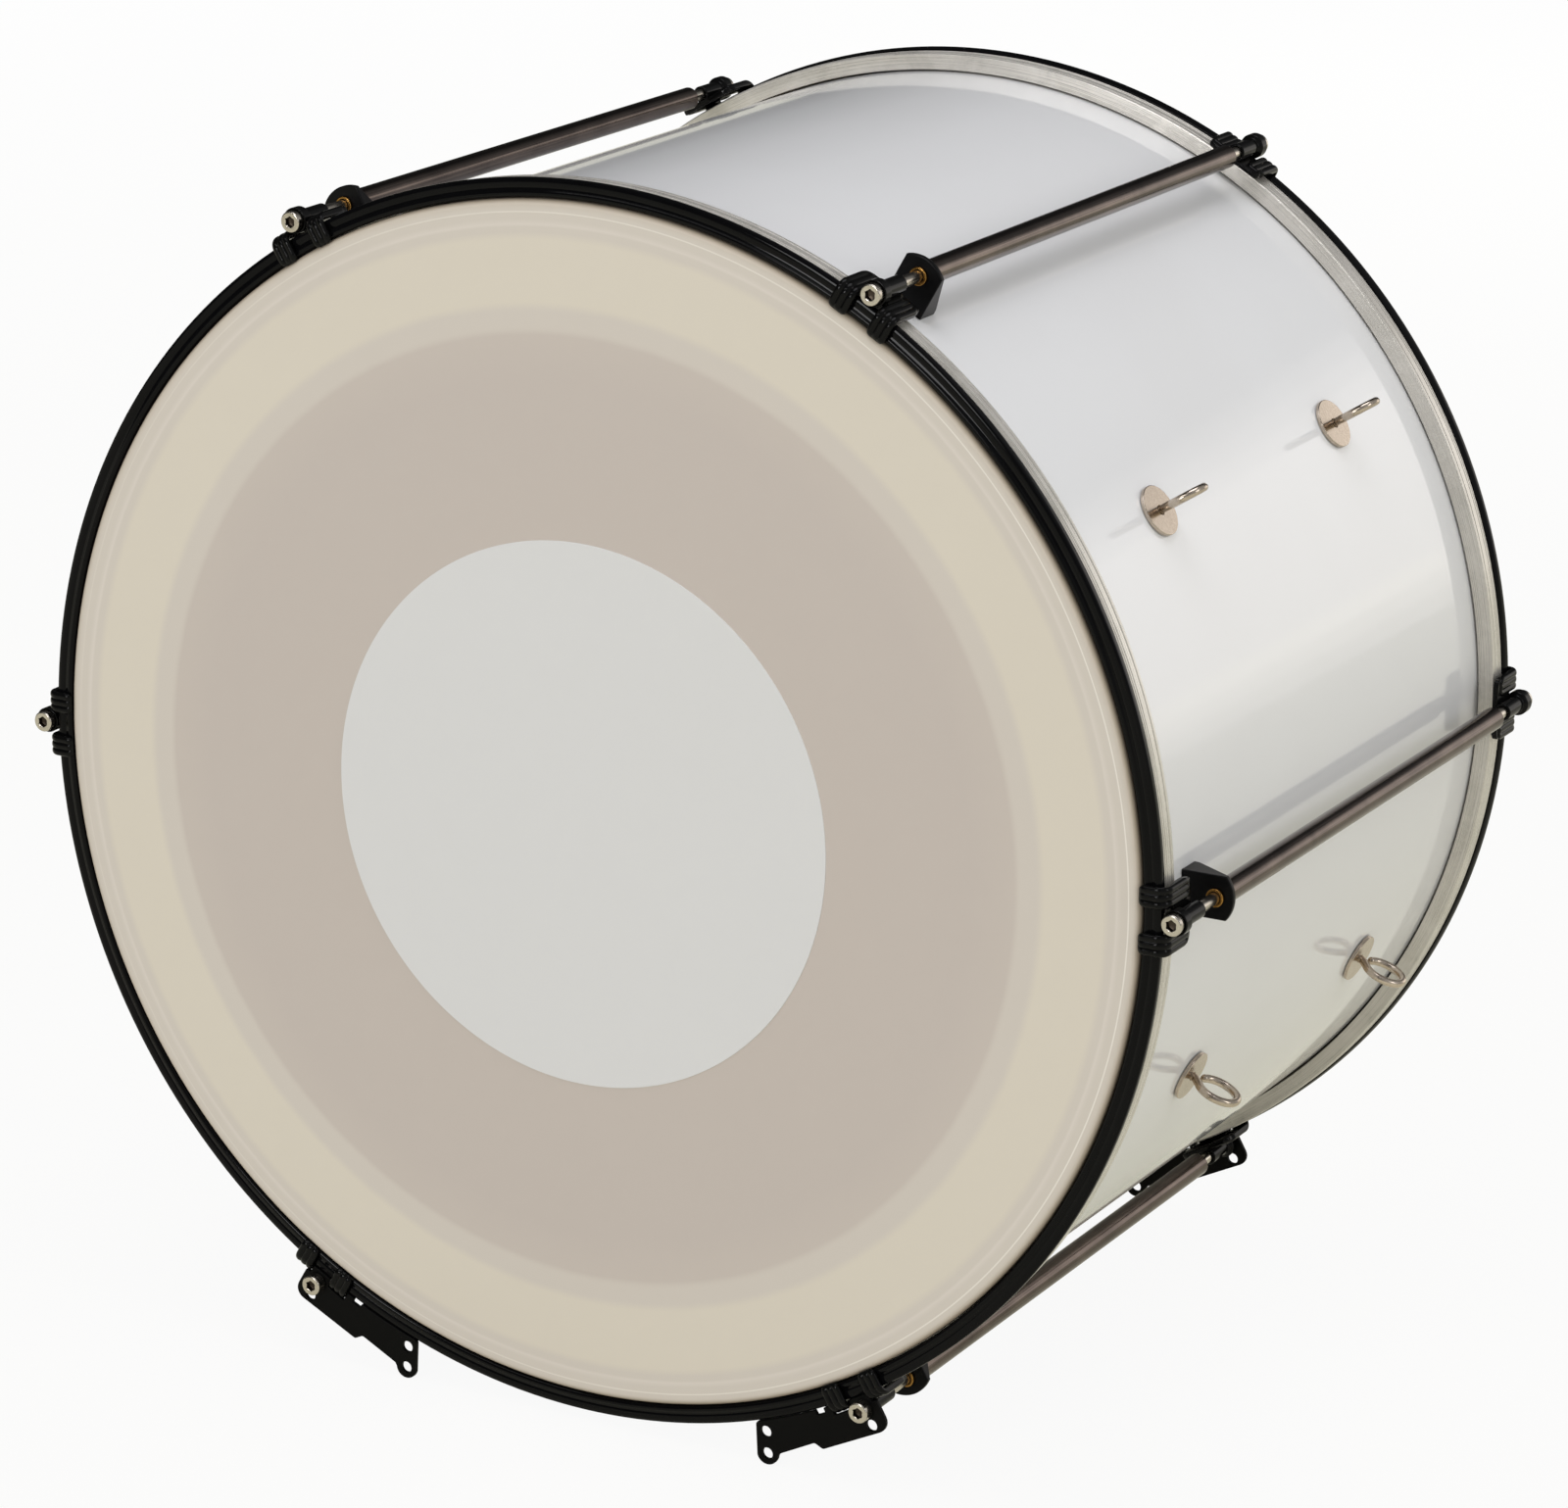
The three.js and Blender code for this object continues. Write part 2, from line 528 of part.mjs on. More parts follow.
// The tube runs from the back of the lug to just short of the rear claw.
function tubeSolid() {
  const front = behindRim(LUG_FRONT + LUG_PLATE + SEAT_GAP);
  const back = RIM_PLANE - CLAW_END - TUBE_CLAW_GAP;
  return toSolid(ring([
    [ROD_BORE / 2, front],
    [TUBE_DIAMETER / 2, front],
    [TUBE_DIAMETER / 2, back],
    [ROD_BORE / 2, back],
  ], ROUND_STEPS).translate(ROD_AXIS, 0, 0));
}

// Foot plate: clamped by the screw, it reaches along the rim to a round lobe that stands on
// the floor. The hand says on which side of the screw the lobe lies.
function footPlateSolid(hand) {
  const front = behindRim(CLAW_FRONT - SEAT_GAP - FOOT_THICKNESS);
  const onHand = (points) => {
    const placed = points.map(([radial, side]) => [radial, hand * side]);
    return hand < 0 ? placed.reverse() : placed;
  };
  const innerHole = besideHoop(FOOT_LOBE_SIDE - FOOT_INNER_HOLE_SETBACK);
  innerHole[0] += FOOT_INNER_HOLE_EDGE + FOOT_HOLE_DIAMETER / 2;
  const holes = [
    circle(ROD_AXIS, 0, ROD_BORE, BORE_STEPS),
    circle(ROD_AXIS + FOOT_OUTER_HOLE_REACH, 0, FOOT_HOLE_DIAMETER, BORE_STEPS),
    circle(LOBE_RADIAL, FOOT_LOBE_SIDE, FOOT_HOLE_DIAMETER, BORE_STEPS),
    circle(innerHole[0], innerHole[1], FOOT_HOLE_DIAMETER, BORE_STEPS),
  ];
  const outline = [...footOuterEdge(), ...footLobe(), ...footInnerEdge()];
  return plate(onHand(outline), FOOT_THICKNESS, front, holes.map(onHand));
}

// Outer edge, from the tail behind the screw along the rim to the neck of the lobe.
function footOuterEdge() {
  const outer = ROD_AXIS + FOOT_OUTER_HOLE_REACH + FOOT_HOLE_DIAMETER / 2 + FOOT_OUTER_HOLE_EDGE;
  const stepTop = outer - FOOT_EDGE_FALL;
  const stepFoot = stepTop - FOOT_STEP;
  const corner = FOOT_CORNER_SHARE * FOOT_CORNER_ROUND;
  return [
    [HOOK_TOP + FOOT_HOOK_CLEARANCE, -FOOT_TAIL],
    [outer - FOOT_CORNER_ROUND, -FOOT_TAIL],
    [outer - corner, corner - FOOT_TAIL],
    [outer, FOOT_CORNER_ROUND - FOOT_TAIL],
    [stepTop, FOOT_STEP_SIDE],
    [stepFoot, FOOT_STEP_SIDE + FOOT_STEP_RUN],
    [stepFoot - FOOT_NECK_FALL, FOOT_LOBE_SIDE - FOOT_LOBE_RADIUS],
  ];
}

// The lobe's facets lie square to whole steps of angle, so that one of them is level.
function footLobe() {
  const step = THREE.MathUtils.degToRad(FOOT_LOBE_STEP_ANGLE);
  const corner = FOOT_LOBE_RADIUS / Math.cos(step / 2);
  const sides = FOOT_LOBE_LAST_SIDE - FOOT_LOBE_FIRST_SIDE + 2;
  return Array.from({ length: sides }, (_, i) => {
    const angle = (FOOT_LOBE_FIRST_SIDE + i) * step - step / 2;
    return [LOBE_RADIAL + corner * Math.cos(angle), FOOT_LOBE_SIDE + corner * Math.sin(angle)];
  });
}

// Inner edge, along the hoop back to the screw, round the hook that stands beside it.
function footInnerEdge() {
  const notch = FOOT_HOOK_OUTSIDE + FOOT_NOTCH_SETBACK;
  const notchEnd = notch + FOOT_NOTCH_WIDTH;
  const run = Array.from({ length: FOOT_EDGE_STEPS }, (_, i) => {
    return besideHoop(notchEnd + (FOOT_LOBE_SIDE - notchEnd) * (1 - i / FOOT_EDGE_STEPS));
  });
  return [
    ...run,
    besideHoop(notchEnd),
    [besideHoop(notchEnd)[0] + FOOT_NOTCH_DEPTH, notchEnd],
    [besideHoop(notch)[0] + FOOT_NOTCH_DEPTH, notch],
    besideHoop(notch),
    besideHoop(FOOT_HOOK_OUTSIDE),
    [HOOK_TOP, FOOT_HOOK_OUTSIDE],
    [HOOK_TOP, FOOT_HOOK_INSIDE],
    besideHoop(FOOT_HOOK_INSIDE),
    besideHoop(-FOOT_HOOK_INSIDE),
    [HOOK_TOP, -FOOT_HOOK_INSIDE],
  ];
}

// The point of the plate's inner edge, just clear of the hoop, at a place along the rim.
function besideHoop(side) {
  return [Math.sqrt((HOOP_OUTER_RADIUS + FOOT_HOOP_CLEARANCE) ** 2 - side ** 2), side];
}

// Eye bolt: a wire eye on a stem, with a washer on the shell and a nut inside it. The eye
// lies in the plane of the drum's axis.
function eyeBoltSolid() {
  const washerBack = SHELL_RADIUS + SEAT_GAP;
  const middle = SHELL_RADIUS + EYE_PROTRUSION - EYE_RING_RADIUS - EYE_WIRE_DIAMETER / 2;
  const eye = new THREE.TorusGeometry(
    EYE_RING_RADIUS, EYE_WIRE_DIAMETER / 2, EYE_WIRE_STEPS, EYE_RING_STEPS,
  );
  const washer = rod(EYE_WASHER_DIAMETER, washerBack, washerBack + EYE_WASHER_THICKNESS);
  const stud = wallStud(EYE_STEM_DIAMETER, EYE_NUT_WIDTH, EYE_NUT_HEIGHT, middle - EYE_RING_RADIUS);
  return join(toSolid(eye.translate(middle, 0, 0)), toSolid(pointOutwards(washer)), stud);
}

function eyeBoltPlaces() {
  const angles = [['upper', EYE_UPPER_ANGLE], ['lower', EYE_LOWER_ANGLE]];
  const ends = [['front', -EYE_SPREAD / 2], ['rear', EYE_SPREAD / 2]];
  return angles.flatMap(([level, degrees]) => ends.map(([end, along]) => {
    return { name: `eye_bolt_${level}_${end}`, angle: THREE.MathUtils.degToRad(degrees), along };
  }));
}

// Assembly

function addEnd(end) {
  const side = new THREE.Group();
  side.rotation.x = end === 'front' ? 0 : Math.PI;
  drum.add(side);
  addPiece(side, `${end}_head`, filmSolid(), 'film');
  addPiece(side, `${end}_flesh_hoop`, fleshHoopSolid(), 'aluminium');
  addPiece(side, `${end}_counter_hoop`, counterHoopSolid(), 'black_gloss');
}

function addStation(name, angle) {
  const station = new THREE.Group();
  station.rotation.y = -angle;
  drum.add(station);
  addPiece(station, `tube_lug_${name}`, lugSolid(), 'black_satin');
  addPiece(station, `lug_bush_${name}`, bushSolid(), 'brass');
  addPiece(station, `tension_tube_${name}`, tubeSolid(), 'gunmetal');
  addStationEnd(station, name, 'front');
  addStationEnd(station, name, 'rear');
}

function addStationEnd(station, name, end) {
  const side = new THREE.Group();
  side.rotation.x = end === 'front' ? 0 : Math.PI;
  station.add(side);
  const footed = name in FOOT_HANDS;
  const seat = footed ? CLAW_FRONT - SEAT_GAP - FOOT_THICKNESS : CLAW_FRONT;
  addPiece(side, `${end}_claw_${name}`, clawSolid(), 'black_gloss');
  addPiece(side, `${end}_screw_${name}`, screwSolid(seat), 'steel');
  if (!footed) return;
  const hand = end === 'front' ? FOOT_HANDS[name] : -FOOT_HANDS[name];
  addPiece(side, `${end}_foot_${name}`, footPlateSolid(hand), 'black_satin');
}

function addEyeBolt({ name, angle, along }) {
  const place = new THREE.Group();
  place.rotation.y = -angle;
  place.position.y = along;
  drum.add(place);
  addPiece(place, name, eyeBoltSolid(), 'nickel');
}

addPiece(drum, 'shell', shellSolid(), 'white_gloss');
addEnd('front');
addEnd('rear');
addPiece(drum, 'front_patch', patchSolid(), 'patch');
addPiece(drum, 'muffle_ring', muffleRingSolid(), 'muffle');
STATION_NAMES.forEach((name, i) => addStation(name, i * STATION_ANGLE));
eyeBoltPlaces().forEach(addEyeBolt);

export default drum;
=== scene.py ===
"""Dresses the marching bass drum: smooth round forms, ribbed castings and studio finishes.

Every piece is drawn in millimetres, with the drum's axis along Y at height nought, and is
put into its mesh in metres at the axis height. Pieces of an end are drawn at the front and
at the right station; the others are the same, turned.
"""

import logging
import math
from dataclasses import dataclass, field
from enum import Enum
from typing import Callable, Iterable, Mapping, Sequence

import bpy
import numpy as np
from mathutils import Matrix
from mathutils.geometry import tessellate_polygon


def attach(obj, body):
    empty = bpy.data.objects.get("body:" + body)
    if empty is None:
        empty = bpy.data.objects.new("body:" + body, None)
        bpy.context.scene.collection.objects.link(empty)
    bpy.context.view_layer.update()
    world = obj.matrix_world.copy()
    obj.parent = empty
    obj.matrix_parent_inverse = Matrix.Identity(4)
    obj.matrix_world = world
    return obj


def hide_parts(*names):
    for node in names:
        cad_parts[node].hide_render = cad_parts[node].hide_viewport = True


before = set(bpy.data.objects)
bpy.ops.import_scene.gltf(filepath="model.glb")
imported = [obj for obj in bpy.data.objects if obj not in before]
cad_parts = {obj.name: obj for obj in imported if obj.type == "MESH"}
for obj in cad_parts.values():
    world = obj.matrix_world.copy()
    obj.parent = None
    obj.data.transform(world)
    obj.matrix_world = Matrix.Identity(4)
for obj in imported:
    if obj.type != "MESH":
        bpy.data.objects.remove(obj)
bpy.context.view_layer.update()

Array = np.ndarray
Pair = tuple[float, float]
Place = tuple[float, float, float]
Colour = tuple[float, float, float]
Sockets = Mapping[str, bpy.types.NodeSocket]
Value = float | bpy.types.NodeSocket
log = logging.getLogger("bass_drum")

MILLIMETRE = 0.001
TINY = 1e-6

# Sizes in millimetres that more than one piece follows. The faces of film and rim count from
# the middle of the drum, and a depth from the front rim's face towards the rear.
AXIS_HEIGHT = 321.517
SEAT_GAP = 0.3
SHELL_RADIUS = 304.8
SHELL_WALL = 6.0
FILM_FACE = 210.3
FILM_THICKNESS = 0.5
PATCH_RADIUS = 139.0
RIM_FACE = 209.3
HOOP_INNER_RADIUS = 306.4
HOOP_OUTER_RADIUS = 316.0
ROD_AXIS = 322.8
ROD_BORE = 6.6
CLAW_DEPTH = 2.9
CLAW_ARM = 4.3
HOOK_WIDTH = 10.8
HOOK_SPACING = 23.4
LUG_DEPTH = 44.7
LUG_PLATE = 3.0
BUSH_DIAMETER = 7.8
NUT_WIDTH = 10.0
NUT_HEIGHT = 5.0

# The eye bolts' angles round the axis, in degrees.
EYE_ANGLES = {"upper": 32.5, "lower": -22.5}

# How finely round forms are divided, how much of a side an arc at a corner may take, and the
# angle from which an edge shades sharp.
RIM_STEPS = 256
ROD_STEPS = 48
CORNER_STEPS = 4
EDGE_STEPS = 4
CORNER_SHARE = 0.48
SHARP_ANGLE = math.radians(35)


class End(Enum):
    """The two ends of the drum, each with the turn that takes a front piece there."""

    FRONT = "front"
    REAR = "rear"

    @property
    def turn(self) -> Array:
        """The turn by half a circle about the radial direction, for the rear end."""
        return np.eye(3) if self is End.FRONT else np.diag([1.0, -1.0, -1.0])

    @property
    def body(self) -> str:
        """The body that the end's hoop and claws move with."""
        return f"{self.value}_rim"


class Station(Enum):
    """The six tension stations, with their angles round the axis."""

    RIGHT = 0
    UPPER_RIGHT = 60
    UPPER_LEFT = 120
    LEFT = 180
    LOWER_LEFT = 240
    LOWER_RIGHT = 300

    @property
    def label(self) -> str:
        """The station's name in the frame."""
        return self.name.lower()

    @property
    def turn(self) -> Array:
        """The turn about the drum's axis from the right station to this one."""
        return turn_about_axis(self.value)

    @property
    def foot_hand(self) -> int:
        """The side of the screw on which a front foot's lobe lies, or nought for no foot."""
        return {Station.LOWER_LEFT: 1, Station.LOWER_RIGHT: -1}.get(self, 0)


def turn_about_axis(degrees: float) -> Array:
    """Gives the turn about Y that takes +X towards +Z.

    Args:
        degrees: the angle of the turn.

    Returns:
        A 3 by 3 matrix.
    """
    c, s = math.cos(math.radians(degrees)), math.sin(math.radians(degrees))
    return np.array([[c, 0.0, -s], [0.0, 1.0, 0.0], [s, 0.0, c]])


def srgb(red: int, green: int, blue: int) -> Colour:
    """Turns a display colour of 0 to 255 into linear light, by the two pieces of the sRGB curve."""
    share = np.array([red, green, blue]) / 255.0
    linear, curved = share / 12.92, ((share + 0.055) / 1.055) ** 2.4
    return tuple(np.where(share <= 0.04045, linear, curved).tolist())


# Solids


@dataclass(frozen=True)
class Solid:
    """A closed surface: its points in millimetres, and arrays of faces by corner count."""

    points: Array
    faces: tuple[Array, ...]

    def turned(self, matrix: Array, shift: Place = (0.0, 0.0, 0.0)) -> "Solid":
        """Gives the solid turned by a matrix and then moved."""
        return Solid(self.points @ matrix.T + np.asarray(shift, float), self.faces)

    def outward(self) -> "Solid":
        """Gives the solid with its faces outwards.

        Its signed volume is a sixth of the sum of the triple products of the corners of the
        fans that the faces are cut into; where it is negative, each face is turned round.

        Returns:
            The same solid, or one with all its faces turned round.
        """
        volume = 0.0
        for block in self.faces:
            corner = self.points[block]
            first, second, third = corner[:, :1], corner[:, 1:-1], corner[:, 2:]
            volume += float(np.sum(np.cross(second, third) * first))
        if volume >= 0:
            return self
        return Solid(self.points, tuple(block[:, ::-1] for block in self.faces))


def joined(solids: Iterable[Solid]) -> Solid:
    """Puts several solids into one, each still closed.

    Args:
        solids: the solids.

    Returns:
        One solid that holds them all.
    """
    parts = list(solids)
    starts = np.cumsum([0] + [len(part.points) for part in parts[:-1]])
    faces = [block + start for part, start in zip(parts, starts) for block in part.faces]
    return Solid(np.vstack([part.points for part in parts]), tuple(faces))


def grid_faces(rows: int, columns: int, wrap_rows: bool, wrap_columns: bool) -> Array:
    """Numbers the four-cornered faces of a grid of points, row after row.

    Args:
        rows: points along the first direction.
        columns: points along the second direction.
        wrap_rows: whether the last row joins the first.
        wrap_columns: whether the last column joins the first.

    Returns:
        An array of faces, four corners each.
    """
    i = np.arange(rows if wrap_rows else rows - 1)[:, None]
    j = np.arange(columns if wrap_columns else columns - 1)[None, :]
    below, beside = (i + 1) % rows, (j + 1) % columns
    corners = [i * columns + j, i * columns + beside, below * columns + beside, below * columns + j]
    return np.stack(corners, axis=-1).reshape(-1, 4)


def carried(sections: Array) -> Solid:
    """Joins closed sections, one after another, and closes both ends.

    Args:
        sections: points by section, by place round the section, by coordinate.

    Returns:
        The solid between the first and the last section.
    """
    rows, columns, _ = sections.shape
    ends = np.stack([np.arange(columns)[::-1], (rows - 1) * columns + np.arange(columns)])
    return Solid(sections.reshape(-1, 3), (grid_faces(rows, columns, False, True), ends)).outward()


def revolved(profile: Array, steps: int, closed: bool, flats: Sequence[int] = ()) -> Solid:
    """Turns a profile of [radius, place along Y] about the axis.

    The point at angle a is (radius cos a, place, radius sin a). A point named in flats goes
    round a hexagon instead: its radius is half the width across flats, divided by the
    cosine of the angle from the middle of the nearest flat.

    Args:
        profile: the points of the profile.
        steps: points round the axis.
        closed: whether the profile closes on itself; if not, both its ends get a flat cap.
        flats: the numbers of the profile's points that go round a hexagon.

    Returns:
        The solid of revolution.
    """
    angle = np.linspace(0, 2 * np.pi, steps, endpoint=False)[:, None]
    sixth = np.pi / 3
    hexagon = 1 / np.cos((angle + sixth / 2) % sixth - sixth / 2)
    on_flat = np.isin(np.arange(len(profile)), list(flats))[None, :]
    radius = profile[None, :, 0] * np.where(on_flat, hexagon, 1.0)
    place = np.broadcast_to(profile[None, :, 1], radius.shape)
    points = np.stack([radius * np.cos(angle), place, radius * np.sin(angle)], axis=-1)
    faces: list[Array] = [grid_faces(steps, len(profile), True, closed)]
    if not closed:
        ring = np.arange(steps) * len(profile)
        faces.append(np.stack([ring, (ring + len(profile) - 1)[::-1]]))
    return Solid(points.reshape(-1, 3), tuple(faces)).outward()


def rounded(
    outline: Sequence[Sequence[float]], radii: float | Sequence[float], steps: int = CORNER_STEPS
) -> Array:
    """Rounds the corners of an outline.

    Each corner becomes an arc that touches both its sides. Its middle lies on the corner's
    bisector, at the radius over the sine of half the corner's angle, and the arc's points are
    weighed between its two ends by the sines of the angles to them. An arc takes up less than
    half of either side.

    Args:
        outline: the corners in order.
        radii: one radius for all the corners, or one each; nought keeps a corner sharp.
        steps: pieces of each arc.

    Returns:
        The points of the rounded outline, without doubles.
    """
    corner = np.asarray(outline, float)
    back, ahead = np.roll(corner, 1, axis=0) - corner, np.roll(corner, -1, axis=0) - corner
    back_reach, ahead_reach = np.linalg.norm(back, axis=1), np.linalg.norm(ahead, axis=1)
    back, ahead = back / back_reach[:, None], ahead / ahead_reach[:, None]
    half = np.maximum(np.arccos(np.clip((back * ahead).sum(axis=1), -1, 1)) / 2, TINY)
    room = CORNER_SHARE * np.minimum(back_reach, ahead_reach) * np.tan(half)
    radius = np.minimum(np.broadcast_to(np.asarray(radii, float), half.shape), room)
    bisector = back + ahead
    bisector = bisector / np.maximum(np.linalg.norm(bisector, axis=1), TINY)[:, None]
    middle = corner + bisector * (radius / np.sin(half))[:, None]
    reach = (radius / np.tan(half))[:, None]
    start, end = corner + back * reach - middle, corner + ahead * reach - middle
    sweep = np.maximum(np.pi - 2 * half, TINY)[:, None, None]
    share = np.linspace(0, 1, steps + 1)[None, :, None]
    weights = np.sin((1 - share) * sweep), np.sin(share * sweep)
    arcs = (weights[0] * start[:, None] + weights[1] * end[:, None]) / np.sin(sweep)
    points = (middle[:, None] + arcs).reshape(-1, 2)
    least_step = 1e-4
    apart = np.linalg.norm(points - np.roll(points, 1, axis=0), axis=1) > least_step
    return points[apart]


def circle(x: float, y: float, diameter: float, steps: int = 40) -> Array:
    """Gives the points of a circle, anticlockwise."""
    angle = np.linspace(0, 2 * np.pi, steps, endpoint=False)
    return np.stack([x + diameter / 2 * np.cos(angle), y + diameter / 2 * np.sin(angle)], axis=1)


def signed_area(loop: Array) -> float:
    """Gives the area inside a loop, positive where it runs anticlockwise."""
    following = np.roll(loop, -1, axis=0)
    return float(np.sum(loop[:, 0] * following[:, 1] - loop[:, 1] * following[:, 0]) / 2)


def drawn_in(loop: Array, by: float) -> Array:
    """Moves each point of a loop into the material, square to the two sides that meet there.

    Args:
        loop: the points, with the material at their left.
        by: the distance.

    Returns:
        The moved points.
    """
    side = np.roll(loop, -1, axis=0) - loop
    normal = np.stack([-side[:, 1], side[:, 0]], axis=1) / np.linalg.norm(side, axis=1)[:, None]
    before = np.roll(normal, 1, axis=0)
    mitre = (normal + before) / (1 + (normal * before).sum(axis=1))[:, None]
    return loop + by * mitre


def soft_plate(
    outline: Array, low: float, high: float, edge: float, holes: Sequence[Array] = ()
) -> Solid:
    """Makes a flat plate with rounded edges, round its holes too.

    Each loop is carried through the thickness. Within one edge radius of a face it is drawn
    in by the radius times one less the sine of the angle round the edge, while the place
    through the thickness goes by one less the cosine. The faces are cut into triangles.

    Args:
        outline: the loop round the plate, in the plate's plane.
        low: place of the lower face through the thickness.
        high: place of the upper face.
        edge: radius of the rounded edges.
        holes: the loops of the holes.

    Returns:
        The plate, with the plane along the first two coordinates.
    """
    loops = [outline if signed_area(outline) > 0 else outline[::-1]]
    loops += [hole[::-1] if signed_area(hole) > 0 else hole for hole in holes]
    turn = np.linspace(0, np.pi / 2, EDGE_STEPS)
    inset = edge * (1 - np.sin(turn))
    rise = edge * (1 - np.cos(turn))
    insets = np.concatenate([inset, inset[::-1]])
    places = np.concatenate([low + rise, high - rise[::-1]])
    start, lower_rim, upper_rim = 0, [], []
    points, faces = [], []
    for loop in loops:
        levels = zip(insets, places)
        rows = np.stack([np.column_stack([drawn_in(loop, by), np.full(len(loop), at)]) for by, at in levels])
        points.append(rows.reshape(-1, 3))
        faces.append(grid_faces(len(rows), len(loop), False, True) + start)
        lower_rim.append(np.arange(len(loop)) + start)
        upper_rim.append(np.arange(len(loop)) + start + (len(rows) - 1) * len(loop))
        start += len(points[-1])
    flat = [[(x, y, 0.0) for x, y in drawn_in(loop, edge)] for loop in loops]
    triangles = np.array(tessellate_polygon(flat))
    lower, upper = np.concatenate(lower_rim), np.concatenate(upper_rim)
    every = np.vstack(points)
    corner = every[lower[triangles]][..., :2]
    across, along = corner[:, 1] - corner[:, 0], corner[:, 2] - corner[:, 0]
    clockwise = across[:, 0] * along[:, 1] - across[:, 1] * along[:, 0] < 0
    triangles[clockwise] = triangles[clockwise][:, ::-1]
    faces += [lower[triangles][:, ::-1], upper[triangles]]
    return Solid(every, tuple(faces)).outward()


def resampled(path: Array, count: int) -> Array:
    """Places points at even distances along a path."""
    reach = np.concatenate([[0], np.cumsum(np.linalg.norm(np.diff(path, axis=0), axis=1))])
    at = np.linspace(0, reach[-1], count)
    return np.stack([np.interp(at, reach, path[:, k]) for k in range(path.shape[1])], axis=1)


def rim_depth(depth: float | Array) -> float | Array:
    """Gives the place along Y of a depth behind the front hoop's front plane."""
    return depth - RIM_FACE


# The turn that takes the direction along the axis to the radial one.
ALONG_RADIUS = np.array([[0.0, 1.0, 0.0], [-1.0, 0.0, 0.0], [0.0, 0.0, 1.0]])


def on_rod_axis(section: Array) -> Solid:
    """Turns a closed section round the tension rod's axis at the right station."""
    return revolved(section, ROD_STEPS, True).turned(np.eye(3), (ROD_AXIS, 0, 0))


def across_axis(solid: Solid) -> Solid:
    """Turns a plate of [radial, along the rim, place along Y] into the drum's directions."""
    return Solid(solid.points[:, [0, 2, 1]], tuple(block[:, ::-1] for block in solid.faces))


# Pieces


class Scene:
    """Puts solids into meshes, dresses them and binds them to the frame."""

    def __init__(self) -> None:
        """Starts with an empty list of pieces."""
        self.pieces: list[bpy.types.Object] = []

    def add(
        self,
        name: str,
        solid: Solid,
        material: bpy.types.Material,
        body: str,
        slot: str,
        node: str,
        inner: tuple[bpy.types.Material, Array] | None = None,
    ) -> bpy.types.Object:
        """Makes one piece that stands for one node of the frame.

        Args:
            name: the piece's name.
            solid: its form in millimetres about the drum's axis.
            material: its finish.
            body: the body that it moves with.
            slot: the record's material slot.
            node: the node that it stands for.
            inner: a second material, and for each face whether it has that one.

        Returns:
            The finished object.
        """
        points = (solid.points + np.array([0.0, 0.0, AXIS_HEIGHT])) * MILLIMETRE
        faces = [face for block in solid.faces for face in block.tolist()]
        mesh = bpy.data.meshes.new(name)
        mesh.from_pydata(points.tolist(), [], faces)
        mesh.validate()
        mesh.polygons.foreach_set("use_smooth", np.ones(len(mesh.polygons), bool))
        mesh.set_sharp_from_angle(angle=SHARP_ANGLE)
        mesh.materials.append(material)
        if inner is not None:
            mesh.materials.append(inner[0])
            mesh.polygons.foreach_set("material_index", inner[1].astype(np.int32))
        piece = bpy.data.objects.new(name, mesh)
        bpy.context.scene.collection.objects.link(piece)
        weighted = piece.modifiers.new("face_weighted_normals", "WEIGHTED_NORMAL")
        weighted.keep_sharp = True
        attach(piece, body)
        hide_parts(node)
        self.pieces.append(piece)
        log.info("%s stands for %s on %s: %d faces", name, node, body, len(faces))
        return piece


# Finishes


